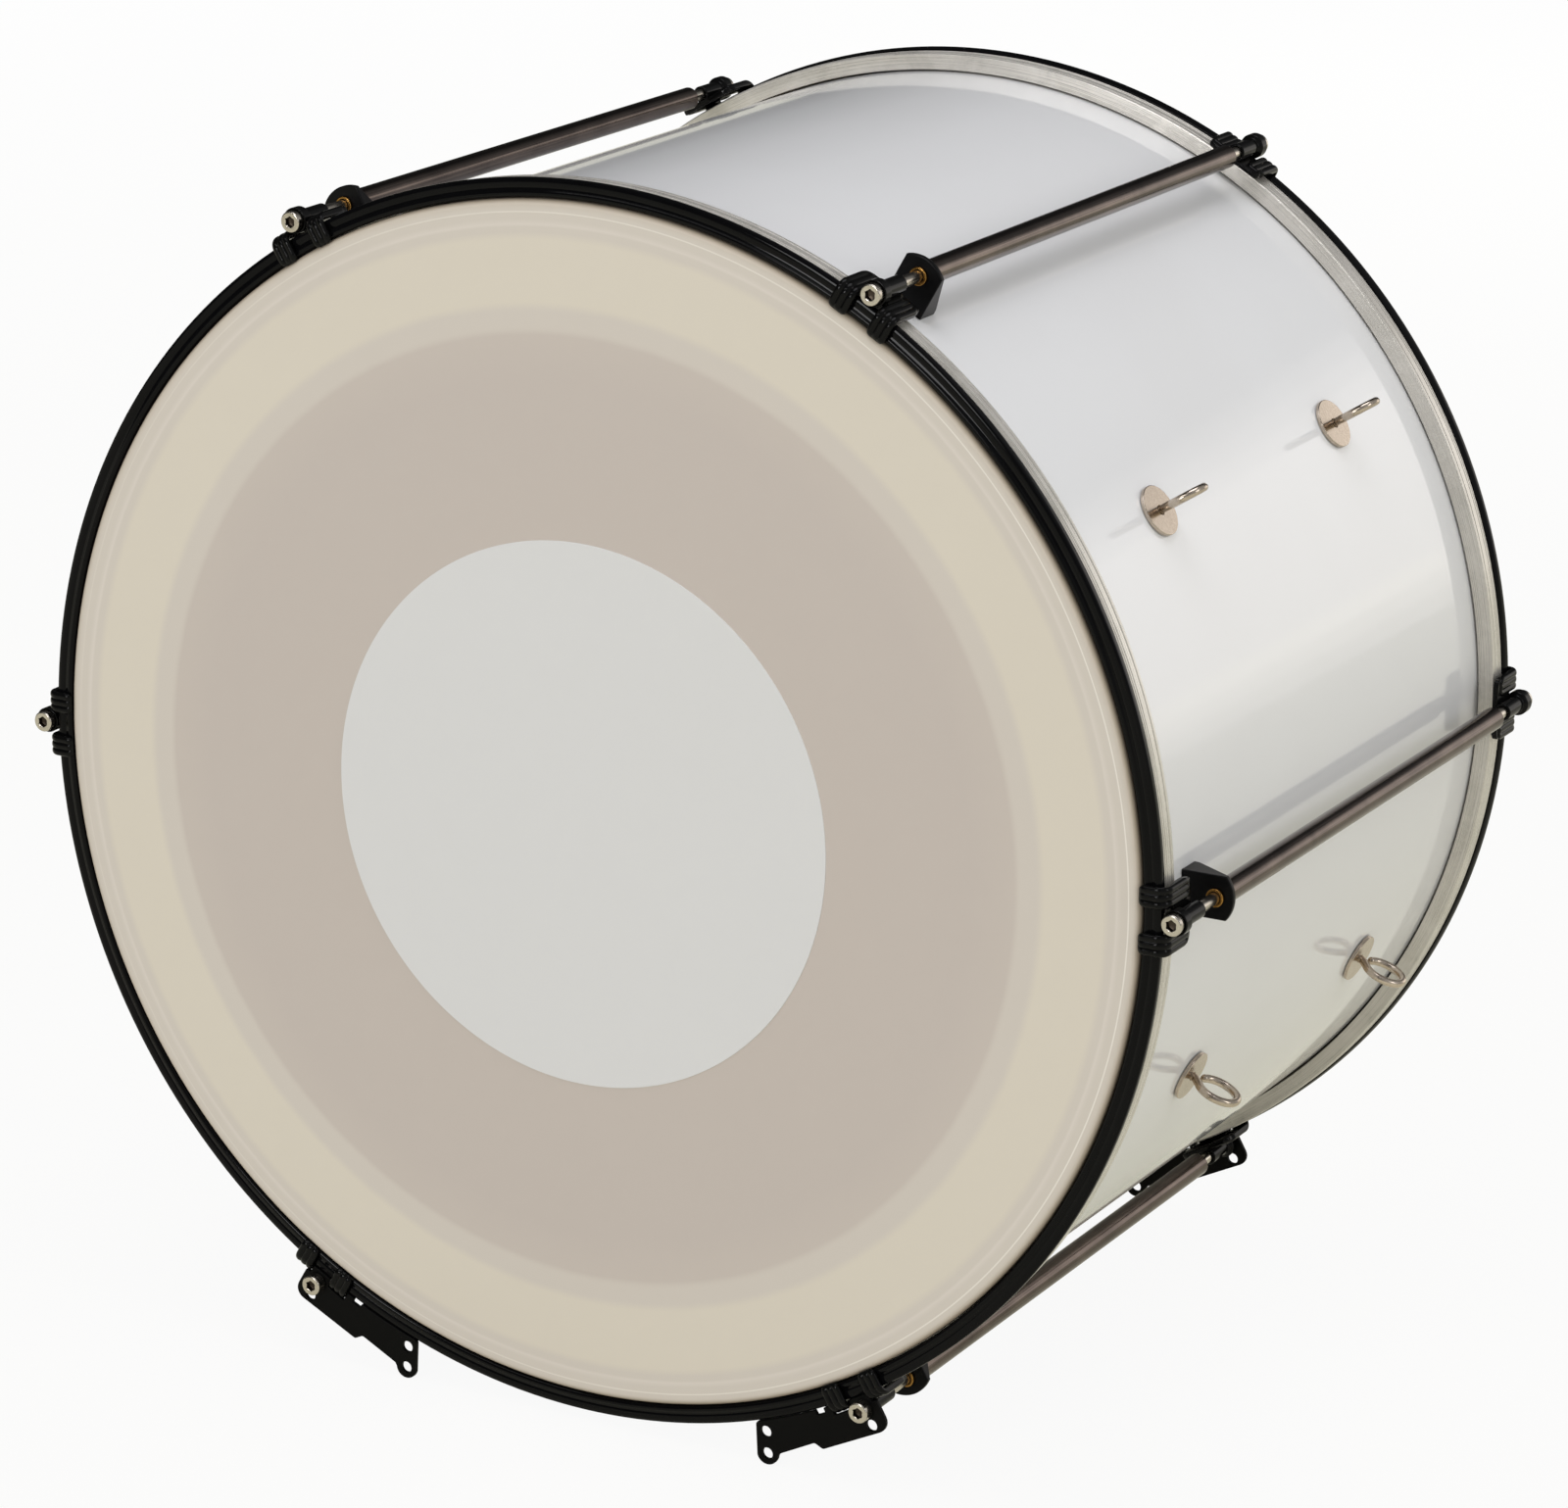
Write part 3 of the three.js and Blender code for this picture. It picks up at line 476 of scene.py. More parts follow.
class NodeSheet:
    """Adds nodes to a node tree, with their values and links in one call."""

    def __init__(self, tree: bpy.types.NodeTree) -> None:
        """Keeps the tree."""
        self.tree = tree

    def add(
        self, kind: str, settings: dict[str, object] | None = None, **inputs: Value | Sequence[float]
    ) -> bpy.types.Node:
        """Adds a node.

        Args:
            kind: the node's type name in Blender.
            settings: properties of the node.
            inputs: by socket name, with blanks as underscores, or by number as i0, i1 and so
                on: a value, or a socket to link from.

        Returns:
            The node.
        """
        node = self.tree.nodes.new(kind)
        for key, value in (settings or {}).items():
            setattr(node, key, value)
        for key, value in inputs.items():
            numbered = key[0] == "i" and key[1:].isdigit()
            socket = node.inputs[int(key[1:]) if numbered else key.replace("_", " ")]
            if isinstance(value, bpy.types.NodeSocket):
                self.tree.links.new(value, socket)
            else:
                socket.default_value = value
        return node

    def maths(self, operation: str, first: Value, second: Value = 0.0) -> bpy.types.NodeSocket:
        """Adds a sum, product or other operation on numbers and gives its result."""
        return self.add("ShaderNodeMath", {"operation": operation}, i0=first, i1=second).outputs[0]

    def between(
        self, value: Value, low: Value, high: Value, start: float = 0.0, end: float = 1.0,
        smooth: bool = False,
    ) -> bpy.types.NodeSocket:
        """Takes a number from one range to another, and holds it at the ends.

        Args:
            value: the number.
            low: the result at the start of the first range.
            high: the result at its end.
            start: start of the first range.
            end: end of the first range.
            smooth: whether the result eases in and out.

        Returns:
            The result.
        """
        node = self.add(
            "ShaderNodeMapRange", {"interpolation_type": "SMOOTHSTEP" if smooth else "LINEAR"},
            Value=value, From_Min=start, From_Max=end, To_Min=low, To_Max=high,
        )
        return node.outputs["Result"]

    def noise(self, vector: Value, scale: Value, **values: float) -> bpy.types.NodeSocket:
        """Adds a noise pattern and gives its number, from nought to one."""
        return self.add("ShaderNodeTexNoise", Vector=vector, Scale=scale, **values).outputs["Fac"]

    def parts(self, vector: Value) -> Sockets:
        """Gives the X, Y and Z of a vector."""
        return self.add("ShaderNodeSeparateXYZ", Vector=vector).outputs

    def vector(self, x: Value, y: Value, z: Value) -> bpy.types.NodeSocket:
        """Puts three numbers into a vector."""
        return self.add("ShaderNodeCombineXYZ", X=x, Y=y, Z=z).outputs[0]

    def blend(self, share: Value, first: Value | Colour, second: Value | Colour) -> bpy.types.NodeSocket:
        """Mixes two colours.

        Args:
            share: how much of the second, from nought to one.
            first: the first colour.
            second: the second colour.

        Returns:
            The mixed colour.
        """
        node = self.add("ShaderNodeMix", {"data_type": "RGBA"})
        for socket, value in ((node.inputs[0], share), (node.inputs[6], first), (node.inputs[7], second)):
            if isinstance(value, bpy.types.NodeSocket):
                self.tree.links.new(value, socket)
            else:
                socket.default_value = value if isinstance(value, float) else (*value, 1.0)
        return node.outputs[2]


def effect(
    name: str, inputs: dict[str, float], outputs: Sequence[str], build: Callable[..., None]
) -> bpy.types.NodeTree:
    """Builds a shared effect as a node group.

    Args:
        name: the group's name.
        inputs: the names of its number inputs, with their usual values; it also has a Vector.
        outputs: the names of its number outputs.
        build: fills the group; it takes the sheet, the inputs and the group's output node.

    Returns:
        The node group.
    """
    tree = bpy.data.node_groups.new(name, "ShaderNodeTree")
    tree.interface.new_socket("Vector", in_out="INPUT", socket_type="NodeSocketVector")
    for label, value in inputs.items():
        socket = tree.interface.new_socket(label, in_out="INPUT", socket_type="NodeSocketFloat")
        socket.default_value = value
    for label in outputs:
        tree.interface.new_socket(label, in_out="OUTPUT", socket_type="NodeSocketFloat")
    sheet = NodeSheet(tree)
    entry = tree.nodes.new("NodeGroupInput")
    leave = tree.nodes.new("NodeGroupOutput")
    build(sheet, entry.outputs, leave.inputs)
    return tree


def build_round_place(sheet: NodeSheet, given: Sockets, result: Sockets) -> None:
    """Gives the radius from the drum's axis, the angle round it in turns and the place along it.

    Args:
        sheet: the group's sheet.
        given: the group's inputs.
        result: the sockets of its output node.
    """
    part = sheet.parts(given["Vector"])
    height = sheet.maths("SUBTRACT", part["Z"], AXIS_HEIGHT * MILLIMETRE)
    across, upright = (sheet.maths("MULTIPLY", side, side) for side in (part["X"], height))
    sheet.tree.links.new(sheet.maths("SQRT", sheet.maths("ADD", across, upright)), result["Radius"])
    turn = sheet.maths("DIVIDE", sheet.maths("ARCTAN2", height, part["X"]), 2 * math.pi)
    sheet.tree.links.new(turn, result["Turn"])
    sheet.tree.links.new(part["Y"], result["Along"])


def build_smudges(sheet: NodeSheet, given: Sockets, result: Sockets) -> None:
    """Gives broad soft patches, as a cloth leaves on a wiped surface."""
    broad = sheet.noise(given["Vector"], given["Scale"], Detail=4.0, Roughness=0.55, Distortion=0.6)
    sheet.tree.links.new(broad, result["Amount"])


def build_grain(sheet: NodeSheet, given: Sockets, result: Sockets) -> None:
    """Gives an even fine grain over a coarser one.

    Args:
        sheet: the group's sheet.
        given: the group's inputs.
        result: the sockets of its output node.
    """
    coarse_share, coarse_size = 0.35, 0.23
    fine = sheet.noise(given["Vector"], given["Scale"], Detail=3.0, Roughness=0.6)
    coarse_scale = sheet.maths("MULTIPLY", given["Scale"], coarse_size)
    coarse = sheet.noise(given["Vector"], coarse_scale, Detail=2.0)
    fine_part = sheet.maths("MULTIPLY", fine, 1 - coarse_share)
    both = sheet.maths("ADD", fine_part, sheet.maths("MULTIPLY", coarse, coarse_share))
    sheet.tree.links.new(both, result["Amount"])


def build_lines(sheet: NodeSheet, given: Sockets, result: Sockets) -> None:
    """Gives fine lines that run where the third coordinate changes least.

    Args:
        sheet: the group's sheet.
        given: the group's inputs: Scale across the lines and Run along them.
        result: the sockets of its output node.
    """
    stretch = sheet.vector(given["Scale"], given["Scale"], given["Run"])
    fine = sheet.add("ShaderNodeVectorMath", {"operation": "MULTIPLY"}, i0=given["Vector"], i1=stretch)
    lines = sheet.noise(fine.outputs[0], 1.0, Detail=4.0, Roughness=0.7)
    sheet.tree.links.new(lines, result["Amount"])


@dataclass(frozen=True)
class Effects:
    """The shared effects, each a node group built once."""

    round_place: bpy.types.NodeTree
    smudges: bpy.types.NodeTree
    grain: bpy.types.NodeTree
    lines: bpy.types.NodeTree

    @classmethod
    def build(cls) -> "Effects":
        """Builds the groups.

        Returns:
            All the effects.
        """
        return cls(
            effect("round_place", {}, ("Radius", "Turn", "Along"), build_round_place),
            effect("smudges", {"Scale": 6.0}, ("Amount",), build_smudges),
            effect("grain", {"Scale": 900.0}, ("Amount",), build_grain),
            effect("lines", {"Scale": 3000.0, "Run": 20.0}, ("Amount",), build_lines),
        )


class Dressing:
    """One material on its way: its sheet, its shader and the shared effects."""

    def __init__(self, name: str, effects: Effects) -> None:
        """Makes an empty material with its shader.

        Args:
            name: the material's name.
            effects: the shared effects.
        """
        self.material = bpy.data.materials.new(name)
        self.material.use_nodes = True
        self.sheet = NodeSheet(self.material.node_tree)
        self.shader = self.material.node_tree.nodes["Principled BSDF"]
        self.effects = effects
        self.place = self.sheet.add("ShaderNodeTexCoord").outputs["Object"]

    def group(
        self, tree: bpy.types.NodeTree, vector: bpy.types.NodeSocket | None = None, **values: float
    ) -> Sockets:
        """Places a shared effect and gives its outputs."""
        return self.sheet.add(
            "ShaderNodeGroup", {"node_tree": tree}, Vector=self.place if vector is None else vector, **values
        ).outputs

    def round_vector(self) -> bpy.types.NodeSocket:
        """Gives [radius, along the axis, turn], for lines that run round the drum."""
        found = self.group(self.effects.round_place)
        return self.sheet.vector(found["Radius"], found["Along"], found["Turn"])

    def drawn_vector(self) -> bpy.types.NodeSocket:
        """Gives [across, up, along the axis], for lines that run along the drum."""
        part = self.sheet.parts(self.place)
        return self.sheet.vector(part["X"], part["Z"], part["Y"])

    def link(self, source: bpy.types.NodeSocket, name: str) -> None:
        """Feeds one of the shader's sockets."""
        self.sheet.tree.links.new(source, self.shader.inputs[name])

    def fixed(self, **values: float) -> None:
        """Sets numbers that are the same all over the surface."""
        for name, value in values.items():
            self.shader.inputs[name.replace("_", " ")].default_value = value

    def relief(self, height: bpy.types.NodeSocket, depth: float, strength: float) -> None:
        """Feeds a relief of that depth in millimetres to the shader's normal."""
        reach = depth * MILLIMETRE
        bump = self.sheet.add("ShaderNodeBump", Strength=strength, Distance=reach, Height=height)
        self.link(bump.outputs[0], "Normal")


@dataclass(frozen=True)
class GlossCovering:
    """The shell's white plastic covering, polished, with the faint waviness of a wrap."""

    colour: Colour = srgb(238, 239, 240)
    shade: Colour = srgb(232, 232, 232)
    roughness: Pair = (0.07, 0.12)
    wave_depth: float = 0.02

    def material(self, effects: Effects) -> bpy.types.Material:
        """Builds the covering's material.

        Args:
            effects: the shared effects.

        Returns:
            The material.
        """
        dressing = Dressing("white_gloss_covering", effects)
        sheet = dressing.sheet
        smudge = dressing.group(effects.smudges, Scale=5.0)["Amount"]
        wave = dressing.group(effects.grain, Scale=260.0)["Amount"]
        dressing.link(sheet.blend(smudge, self.colour, self.shade), "Base Color")
        dressing.link(sheet.between(smudge, *self.roughness), "Roughness")
        dressing.relief(wave, self.wave_depth, strength=0.25)
        dressing.fixed(IOR=1.5, Coat_Weight=0.35, Coat_Roughness=0.03)
        return dressing.material


@dataclass(frozen=True)
class HeadFilm:
    """A coated film whose tone changes with the radius: the layers under it, and painted shade at the rim.

    Stops are pairs of a radius in millimetres and a colour; the tone runs evenly from one to
    the next. A crease, where there is one, carries a painted highlight: a fine pale line at its
    radius, clearest at the right, where the light falls. Over the bearing edge the film turns dull.
    """

    name: str
    stops: tuple[tuple[float, Colour], ...]
    roughness: Pair = (0.34, 0.46)
    rim_roughness: float = 0.95
    rim_zone: Pair = (300.5, 303.5)
    tone_spread: Pair = (0.985, 1.01)
    grain_depth: float = 0.03
    full_radius: float = 320.0
    crease_highlight: float | None = None
    crease_highlight_fade: Pair = (0.1, 0.55)
    crease_highlight_strength: Pair = (0.15, 0.8)
    # Painted highlight: the pale colour of the line along the crease.
    crease_highlight_colour: Colour = srgb(248, 243, 234)

    def material(self, effects: Effects) -> bpy.types.Material:
        """Builds the film's material.

        Args:
            effects: the shared effects.

        Returns:
            The material.
        """
        dressing = Dressing(self.name, effects)
        sheet = dressing.sheet
        place = dressing.group(effects.round_place)
        share = sheet.maths("DIVIDE", place["Radius"], self.full_radius * MILLIMETRE)
        ramp = sheet.add("ShaderNodeValToRGB", Fac=share)
        bands = ramp.color_ramp.elements
        while len(bands) < len(self.stops):
            bands.new(1.0)
        for band, (at, colour) in zip(bands, self.stops):
            band.position = at / self.full_radius
            band.color = (*colour, 1.0)
        smudge = dressing.group(effects.smudges, Scale=3.5)["Amount"]
        grain = dressing.group(effects.grain, Scale=1400.0)["Amount"]
        tint = sheet.between(smudge, *self.tone_spread)
        toned = sheet.add(
            "ShaderNodeVectorMath", {"operation": "SCALE"}, i0=ramp.outputs["Color"], Scale=tint
        ).outputs[0]
        dressing.link(toned if self.crease_highlight is None else self.with_crease_highlight(sheet, place, toned), "Base Color")
        start, end = (radius * MILLIMETRE for radius in self.rim_zone)
        at_rim = sheet.between(place["Radius"], 0.0, 1.0, start, end, smooth=True)
        usual = sheet.between(smudge, *self.roughness)
        dressing.link(sheet.between(at_rim, usual, self.rim_roughness), "Roughness")
        dressing.relief(grain, self.grain_depth, strength=0.35)
        dressing.fixed(IOR=1.45)
        return dressing.material

    def with_crease_highlight(
        self, sheet: NodeSheet, place: Sockets, colour: bpy.types.NodeSocket
    ) -> bpy.types.NodeSocket:
        """Lays the crease's painted highlight over the film's colour, its strength by the cosine of the
        turn, strongest at the right where the light falls.

        Args:
            sheet: the material's sheet.
            place: the radius and the turn round the axis.
            colour: the film's colour.

        Returns:
            The colour with the crease's painted highlight.
        """
        off = sheet.maths("ABSOLUTE", sheet.maths("SUBTRACT", place["Radius"], self.crease_highlight * MILLIMETRE))
        start, end = (reach * MILLIMETRE for reach in self.crease_highlight_fade)
        line = sheet.between(off, 1.0, 0.0, start, end, smooth=True)
        side = sheet.maths("COSINE", sheet.maths("MULTIPLY", place["Turn"], 2 * math.pi))
        strength = sheet.between(side, *self.crease_highlight_strength, start=-1.0)
        return sheet.blend(sheet.maths("MULTIPLY", line, strength), colour, self.crease_highlight_colour)


@dataclass(frozen=True)
class BlackLacquer:
    """Black paint on metal: glossy on the hoops and claws, satin on the lugs and feet."""

    name: str
    colour: Colour
    roughness: Pair
    grain_scale: float
    grain_depth: float
    index: float
    worn_gain: float = 1.8

    def material(self, effects: Effects) -> bpy.types.Material:
        """Builds the paint's material, a little lighter where it is worn.

        Args:
            effects: the shared effects.

        Returns:
            The material.
        """
        dressing = Dressing(self.name, effects)
        sheet = dressing.sheet
        smudge = dressing.group(effects.smudges, Scale=45.0)["Amount"]
        grain = dressing.group(effects.grain, Scale=self.grain_scale)["Amount"]
        worn = tuple(self.worn_gain * part for part in self.colour)
        dressing.link(sheet.blend(smudge, self.colour, worn), "Base Color")
        dressing.link(sheet.between(smudge, *self.roughness), "Roughness")
        dressing.relief(grain, self.grain_depth, strength=0.5)
        dressing.fixed(IOR=self.index)
        return dressing.material


class LineRun(Enum):
    """Which way the fine lines of a worked metal run."""

    ROUND_THE_DRUM = "round"
    ALONG_THE_AXIS = "along"
    NONE = "none"


@dataclass(frozen=True)
class WorkedMetal:
    """Bare or plated metal with the fine lines that its making left."""

    name: str
    light: Colour
    dark: Colour
    roughness: Pair
    run: LineRun = LineRun.NONE
    line_scale: float = 5000.0
    line_run: float = 12.0
    line_share: float = 0.7
    contrast: Pair = (0.35, 0.65)
    depth: float = 0.02
    metal: float = 1.0

    def material(self, effects: Effects) -> bpy.types.Material:
        """Builds the metal's material.

        Args:
            effects: the shared effects.

        Returns:
            The material.
        """
        dressing = Dressing(self.name, effects)
        sheet = dressing.sheet
        if self.run is LineRun.NONE:
            lines = dressing.group(effects.grain, Scale=self.line_scale)["Amount"]
        else:
            around = self.run is LineRun.ROUND_THE_DRUM
            vector = dressing.round_vector() if around else dressing.drawn_vector()
            lines = dressing.group(effects.lines, vector, Scale=self.line_scale, Run=self.line_run)["Amount"]
        smudge = dressing.group(effects.smudges, Scale=30.0)["Amount"]
        line_part = sheet.maths("MULTIPLY", lines, self.line_share)
        mixed = sheet.maths("ADD", line_part, sheet.maths("MULTIPLY", smudge, 1 - self.line_share))
        spread = sheet.between(mixed, 0.0, 1.0, *self.contrast)
        dressing.link(sheet.blend(spread, self.dark, self.light), "Base Color")
        dressing.link(sheet.between(spread, *self.roughness), "Roughness")
        dressing.relief(lines, self.depth, strength=0.5)
        dressing.fixed(Metallic=self.metal)
        return dressing.material


@dataclass(frozen=True)
class FilmTones:
    """The tones of the two films from the middle out, by radius in millimetres."""

    grey_zone: Colour = srgb(205, 195, 187)
    soft_ring: Colour = srgb(217, 209, 199)
    cream: Colour = srgb(226, 218, 203)
    rim_pink: Colour = srgb(218, 210, 199)
    patch_white: Colour = srgb(227, 227, 227)

    def playing(self) -> tuple[tuple[float, Colour], ...]:
        """Gives the playing film's tones.

        Returns:
            Grey, then a softer ring, cream over the muffling ring, and the rim, darkened by painted shade
            towards the hoop.
        """
        return (
            (0.0, self.grey_zone), (218.0, self.grey_zone), (240.0, srgb(208, 198, 189)),
            (243.0, self.soft_ring), (252.0, self.soft_ring), (256.0, self.cream),
            (286.5, self.cream), (290.0, self.rim_pink), (292.8, self.rim_pink),
            (294.1, srgb(229, 221, 212)), (295.4, self.rim_pink), (301.0, self.rim_pink),
            # Painted shade: the last three stops darken the film where it rolls under the hoop.
            (303.4, srgb(212, 203, 190)), (304.8, srgb(176, 163, 145)), (306.0, srgb(124, 112, 96)),
        )

    def rear(self) -> tuple[tuple[float, Colour], ...]:
        """Gives the rear film's tones.

        Returns:
            One even tone out to the rim, then painted shade where the film rolls under the hoop.
        """
        return (
            (0.0, srgb(226, 220, 204)), (286.0, srgb(224, 217, 199)), (296.0, self.rim_pink),
            # Painted shade: the last two stops darken the film where it rolls under the hoop.
            (301.5, self.rim_pink), (304.4, srgb(190, 178, 161)), (306.0, srgb(150, 140, 120)),
        )


def all_finishes() -> dict[str, GlossCovering | HeadFilm | BlackLacquer | WorkedMetal]:
    """Sets out the drum's finishes.

    Returns:
        Each by the name of its slot in the record, or by a name of its own where it is the
        second finish of a piece, such as the painted shade in grooves and sockets, or the playing film's.
    """
    tones = FilmTones()
    # Radius of the crease's painted highlight line.
    crease_highlight_radius = 299.8
    muffle_film = ((0.0, srgb(232, 226, 206)), (300.0, srgb(230, 223, 200)))
    patch_film = tuple((radius, tones.patch_white) for radius in (0.0, PATCH_RADIUS))
    return {
        "shell": GlossCovering(),
        "playing_film": HeadFilm("playing_film", tones.playing(), crease_highlight=crease_highlight_radius),
        "film": HeadFilm("rear_film", tones.rear(), crease_highlight=crease_highlight_radius),
        "patch": HeadFilm("patch_film", patch_film, (0.38, 0.5)),
        "muffle_film": HeadFilm("muffle_film", muffle_film),
        "flesh_hoop": WorkedMetal(
            "brushed_aluminium", srgb(236, 232, 225), srgb(190, 186, 177), (0.22, 0.36),
            LineRun.ROUND_THE_DRUM, metal=0.5,
        ),
        # Painted shade: a darker metal for the flesh hoop's groove floors, standing in for the shade in the
        # grooves.
        "groove": WorkedMetal(
            "groove_painted_shade", srgb(116, 113, 104), srgb(80, 77, 70), (0.4, 0.55), LineRun.ROUND_THE_DRUM
        ),
        "counter_hoop": BlackLacquer("hoop_black_gloss", srgb(7, 7, 8), (0.05, 0.1), 700.0, 0.012, 1.2),
        "claw": BlackLacquer("claw_black_gloss", srgb(8, 8, 8), (0.1, 0.17), 900.0, 0.015, 1.22),
        "lug": BlackLacquer("lug_black_satin", srgb(8, 8, 9), (0.28, 0.38), 1500.0, 0.04, 1.22),
        "foot_plate": BlackLacquer("foot_black_satin", srgb(6, 6, 6), (0.38, 0.5), 1800.0, 0.03, 1.16),
        "tube": WorkedMetal(
            "gunmetal_tube", srgb(120, 108, 101), srgb(50, 43, 41), (0.12, 0.19),
            LineRun.ALONG_THE_AXIS, 4000.0, 6.0,
        ),
        "screw": WorkedMetal(
            "bright_steel", srgb(216, 210, 200), srgb(176, 168, 156), (0.16, 0.3),
            LineRun.ALONG_THE_AXIS, 6000.0, 60.0,
        ),
        # Painted shade: a darker, rougher steel for the screw's socket, standing in for the shade in its
        # hollow.
        "socket": WorkedMetal(
            "socket_painted_shade", srgb(96, 86, 76), srgb(60, 52, 45), (0.35, 0.5), line_scale=3000.0
        ),
        "bush": WorkedMetal(
            "turned_brass", srgb(186, 142, 76), srgb(116, 82, 40), (0.18, 0.3), line_scale=3000.0
        ),
        "eye_bolt": WorkedMetal(
            "nickel_plate", srgb(214, 201, 186), srgb(172, 159, 144), (0.17, 0.28), line_scale=2600.0
        ),
    }


@dataclass
class Palette:
    """All the drum's materials, by slot."""

    effects: Effects
    made: dict[str, bpy.types.Material] = field(default_factory=dict)

    def build(self) -> None:
        """Builds every material once."""
        for slot, finish in all_finishes().items():
            self.made[slot] = finish.material(self.effects)

    def __getitem__(self, slot: str) -> bpy.types.Material:
        """Gives the material of a slot."""
        return self.made[slot]


# Sub-assemblies


@dataclass
class ShellBody:
    """The shell: a plywood tube with its covering and rounded bearing edges."""

    depth: float = 419.0
    crest_inset: float = 2.2
    outer_drop: float = 1.6
    inner_drop: float = 3.8
    edge_radii: Place = (1.0, 0.8, 1.0)

    def build(self) -> Solid:
        """Turns the wall's section about the axis.

        Returns:
            The shell.
        """
        end, inner = self.depth / 2, SHELL_RADIUS - SHELL_WALL
        crest = SHELL_RADIUS - self.crest_inset
        corners = [
            [inner, self.inner_drop - end], [crest, -end], [SHELL_RADIUS, self.outer_drop - end],
            [SHELL_RADIUS, end - self.outer_drop], [crest, end], [inner, end - self.inner_drop],
        ]
        section = rounded(corners, [*self.edge_radii, *reversed(self.edge_radii)])
        return revolved(section, RIM_STEPS, True)

    def dress(self, scene: Scene, palette: Palette) -> None:
        """Adds the shell."""
        scene.add("covered_shell", self.build(), palette["shell"], "drum", "shell", "shell")


@dataclass
class HeadAndHoops:
    """The film, flesh hoop and counter hoop of one end.

    The film's rings are the radii at which its flat part is divided. A bead, an arch and a
    belly are arcs, by radius and by first and last angle in degrees.
    """

    end: End
    film_rings: tuple[float, ...] = (60.0, PATCH_RADIUS, 250.0, 296.0)
    film_outer: float = 305.9
    film_collar: float = 14.0
    roll_start: float = 302.6
    flesh_inner: float = 305.95
    flesh_outer: float = 314.5
    flesh_front: float = 6.9
    flesh_height: float = 11.0
    flesh_inner_edge: float = 0.3
    flesh_outer_edge: float = 0.7
    groove_width: float = 0.9
    groove_depth: float = 0.55
    groove_edge: float = 0.15
    groove_floor: Pair = (0.35, 1.1)
    grooves: tuple[float, ...] = (1.7, 3.6, 8.3)
    hoop_height: float = 6.6
    hoop_fall: float = 0.5
    hoop_edges: Pair = (0.4, 0.5)
    hoop_bead: float = 2.1
    bead_angles: Pair = (180.0, 42.0)
    hoop_arch: float = 5.2
    arch_angles: Pair = (115.0, 62.0)
    hoop_belly: float = 9.0
    hoop_belly_depth: float = 2.4
    belly_angles: Pair = (4.0, -27.8)

    def build_film(self) -> Solid:
        """Turns the film: flat, rolled over the bearing edge by a quarter circle, then down.

        Returns:
            The film at the front.
        """
        roll = self.film_outer - self.roll_start
        angle = np.linspace(0, np.pi / 2, 10)

        def quarter(radius: float) -> Array:
            """Gives the quarter circle of that radius about the roll's middle."""
            place = roll - FILM_FACE - radius * np.cos(angle)
            return np.stack([self.roll_start + radius * np.sin(angle), place], axis=1)

        end, lining = self.film_collar - FILM_FACE, self.film_outer - FILM_THICKNESS
        flat = np.array([[ring, -FILM_FACE] for ring in self.film_rings])
        outer = np.vstack([flat, quarter(roll), [[self.film_outer, end]]])
        inner = np.vstack([[[lining, end]], quarter(roll - FILM_THICKNESS)[::-1]])
        inside = flat[::-1] + np.array([0.0, FILM_THICKNESS])
        return revolved(np.vstack([outer, inner, inside]), RIM_STEPS, False)

    def build_flesh_hoop(self) -> Solid:
        """Turns the flesh hoop: a flat bar with fine grooves round its outer face.

        Returns:
            The hoop at the front.
        """
        front, back = rim_depth(self.flesh_front), rim_depth(self.flesh_front + self.flesh_height)
        outer, half = self.flesh_outer, self.groove_width / 2
        line = [[self.flesh_inner, front], [outer, front]]
        radii = [self.flesh_inner_edge, self.flesh_outer_edge]
        for groove in self.grooves:
            middle, floor = front + groove, outer - self.groove_depth
            line += [[outer, middle - half], [floor, middle - half / 2]]
            line += [[floor, middle + half / 2], [outer, middle + half]]
            radii += [self.groove_edge] * 4
        line += [[outer, back], [self.flesh_inner, back]]
        radii += [self.flesh_outer_edge, self.flesh_inner_edge]
        return revolved(rounded(line, radii, 3), RIM_STEPS, True)

    def in_groove(self, solid: Solid) -> Array:
        """Tells which faces of the flesh hoop lie near a groove's floor; these get painted shade.

        Args:
            solid: the flesh hoop at the front.

        Returns:
            For each face, whether all its corners lie between two shares of a groove's depth.
        """
        corner = solid.points[solid.faces[0]]
        depth = self.flesh_outer - np.hypot(corner[..., 0], corner[..., 2])
        near, past = (share * self.groove_depth for share in self.groove_floor)
        return (depth.min(axis=1) > near) & (depth.max(axis=1) < past)

    def build_counter_hoop(self) -> Solid:
        """Turns the counter hoop.

        Its front is a round bead at the inner edge, an arc of the bead's radius, and beside
        it a flat arch up to the outer edge, an arc of the arch's radius. Its side is a flat
        arc of the belly's radius, widest at the belly's depth.

        Returns:
            The hoop at the front.
        """

        def arc(middle: Pair, radius: float, angles: Pair, steps: int) -> list[list[float]]:
            """Gives the points [middle + radius cos a, middle - radius sin a] of an arc."""
            turn = np.radians(np.linspace(*angles, steps))
            points = [middle[0] + radius * np.cos(turn), middle[1] - radius * np.sin(turn)]
            return np.stack(points, axis=1).tolist()

        inner, outer, bead, belly = HOOP_INNER_RADIUS, HOOP_OUTER_RADIUS, self.hoop_bead, self.hoop_belly
        crown = ((inner + 2 * bead + outer) / 2, self.hoop_fall + self.hoop_arch)
        front = arc((inner + bead, bead), bead, self.bead_angles, 18)
        front += arc(crown, self.hoop_arch, self.arch_angles, 12)
        side = arc((outer - belly, self.hoop_belly_depth), belly, self.belly_angles, 14)
        inner_edge, outer_edge = self.hoop_edges
        radii = [inner_edge, *[0.0] * len(front), outer_edge, *[0.0] * (len(side) - 2), outer_edge]
        section = rounded([[inner, self.hoop_height], *front, *side], radii, 6)
        section = np.stack([section[:, 0], rim_depth(section[:, 1])], axis=1)
        return revolved(section[::-1], RIM_STEPS, True)

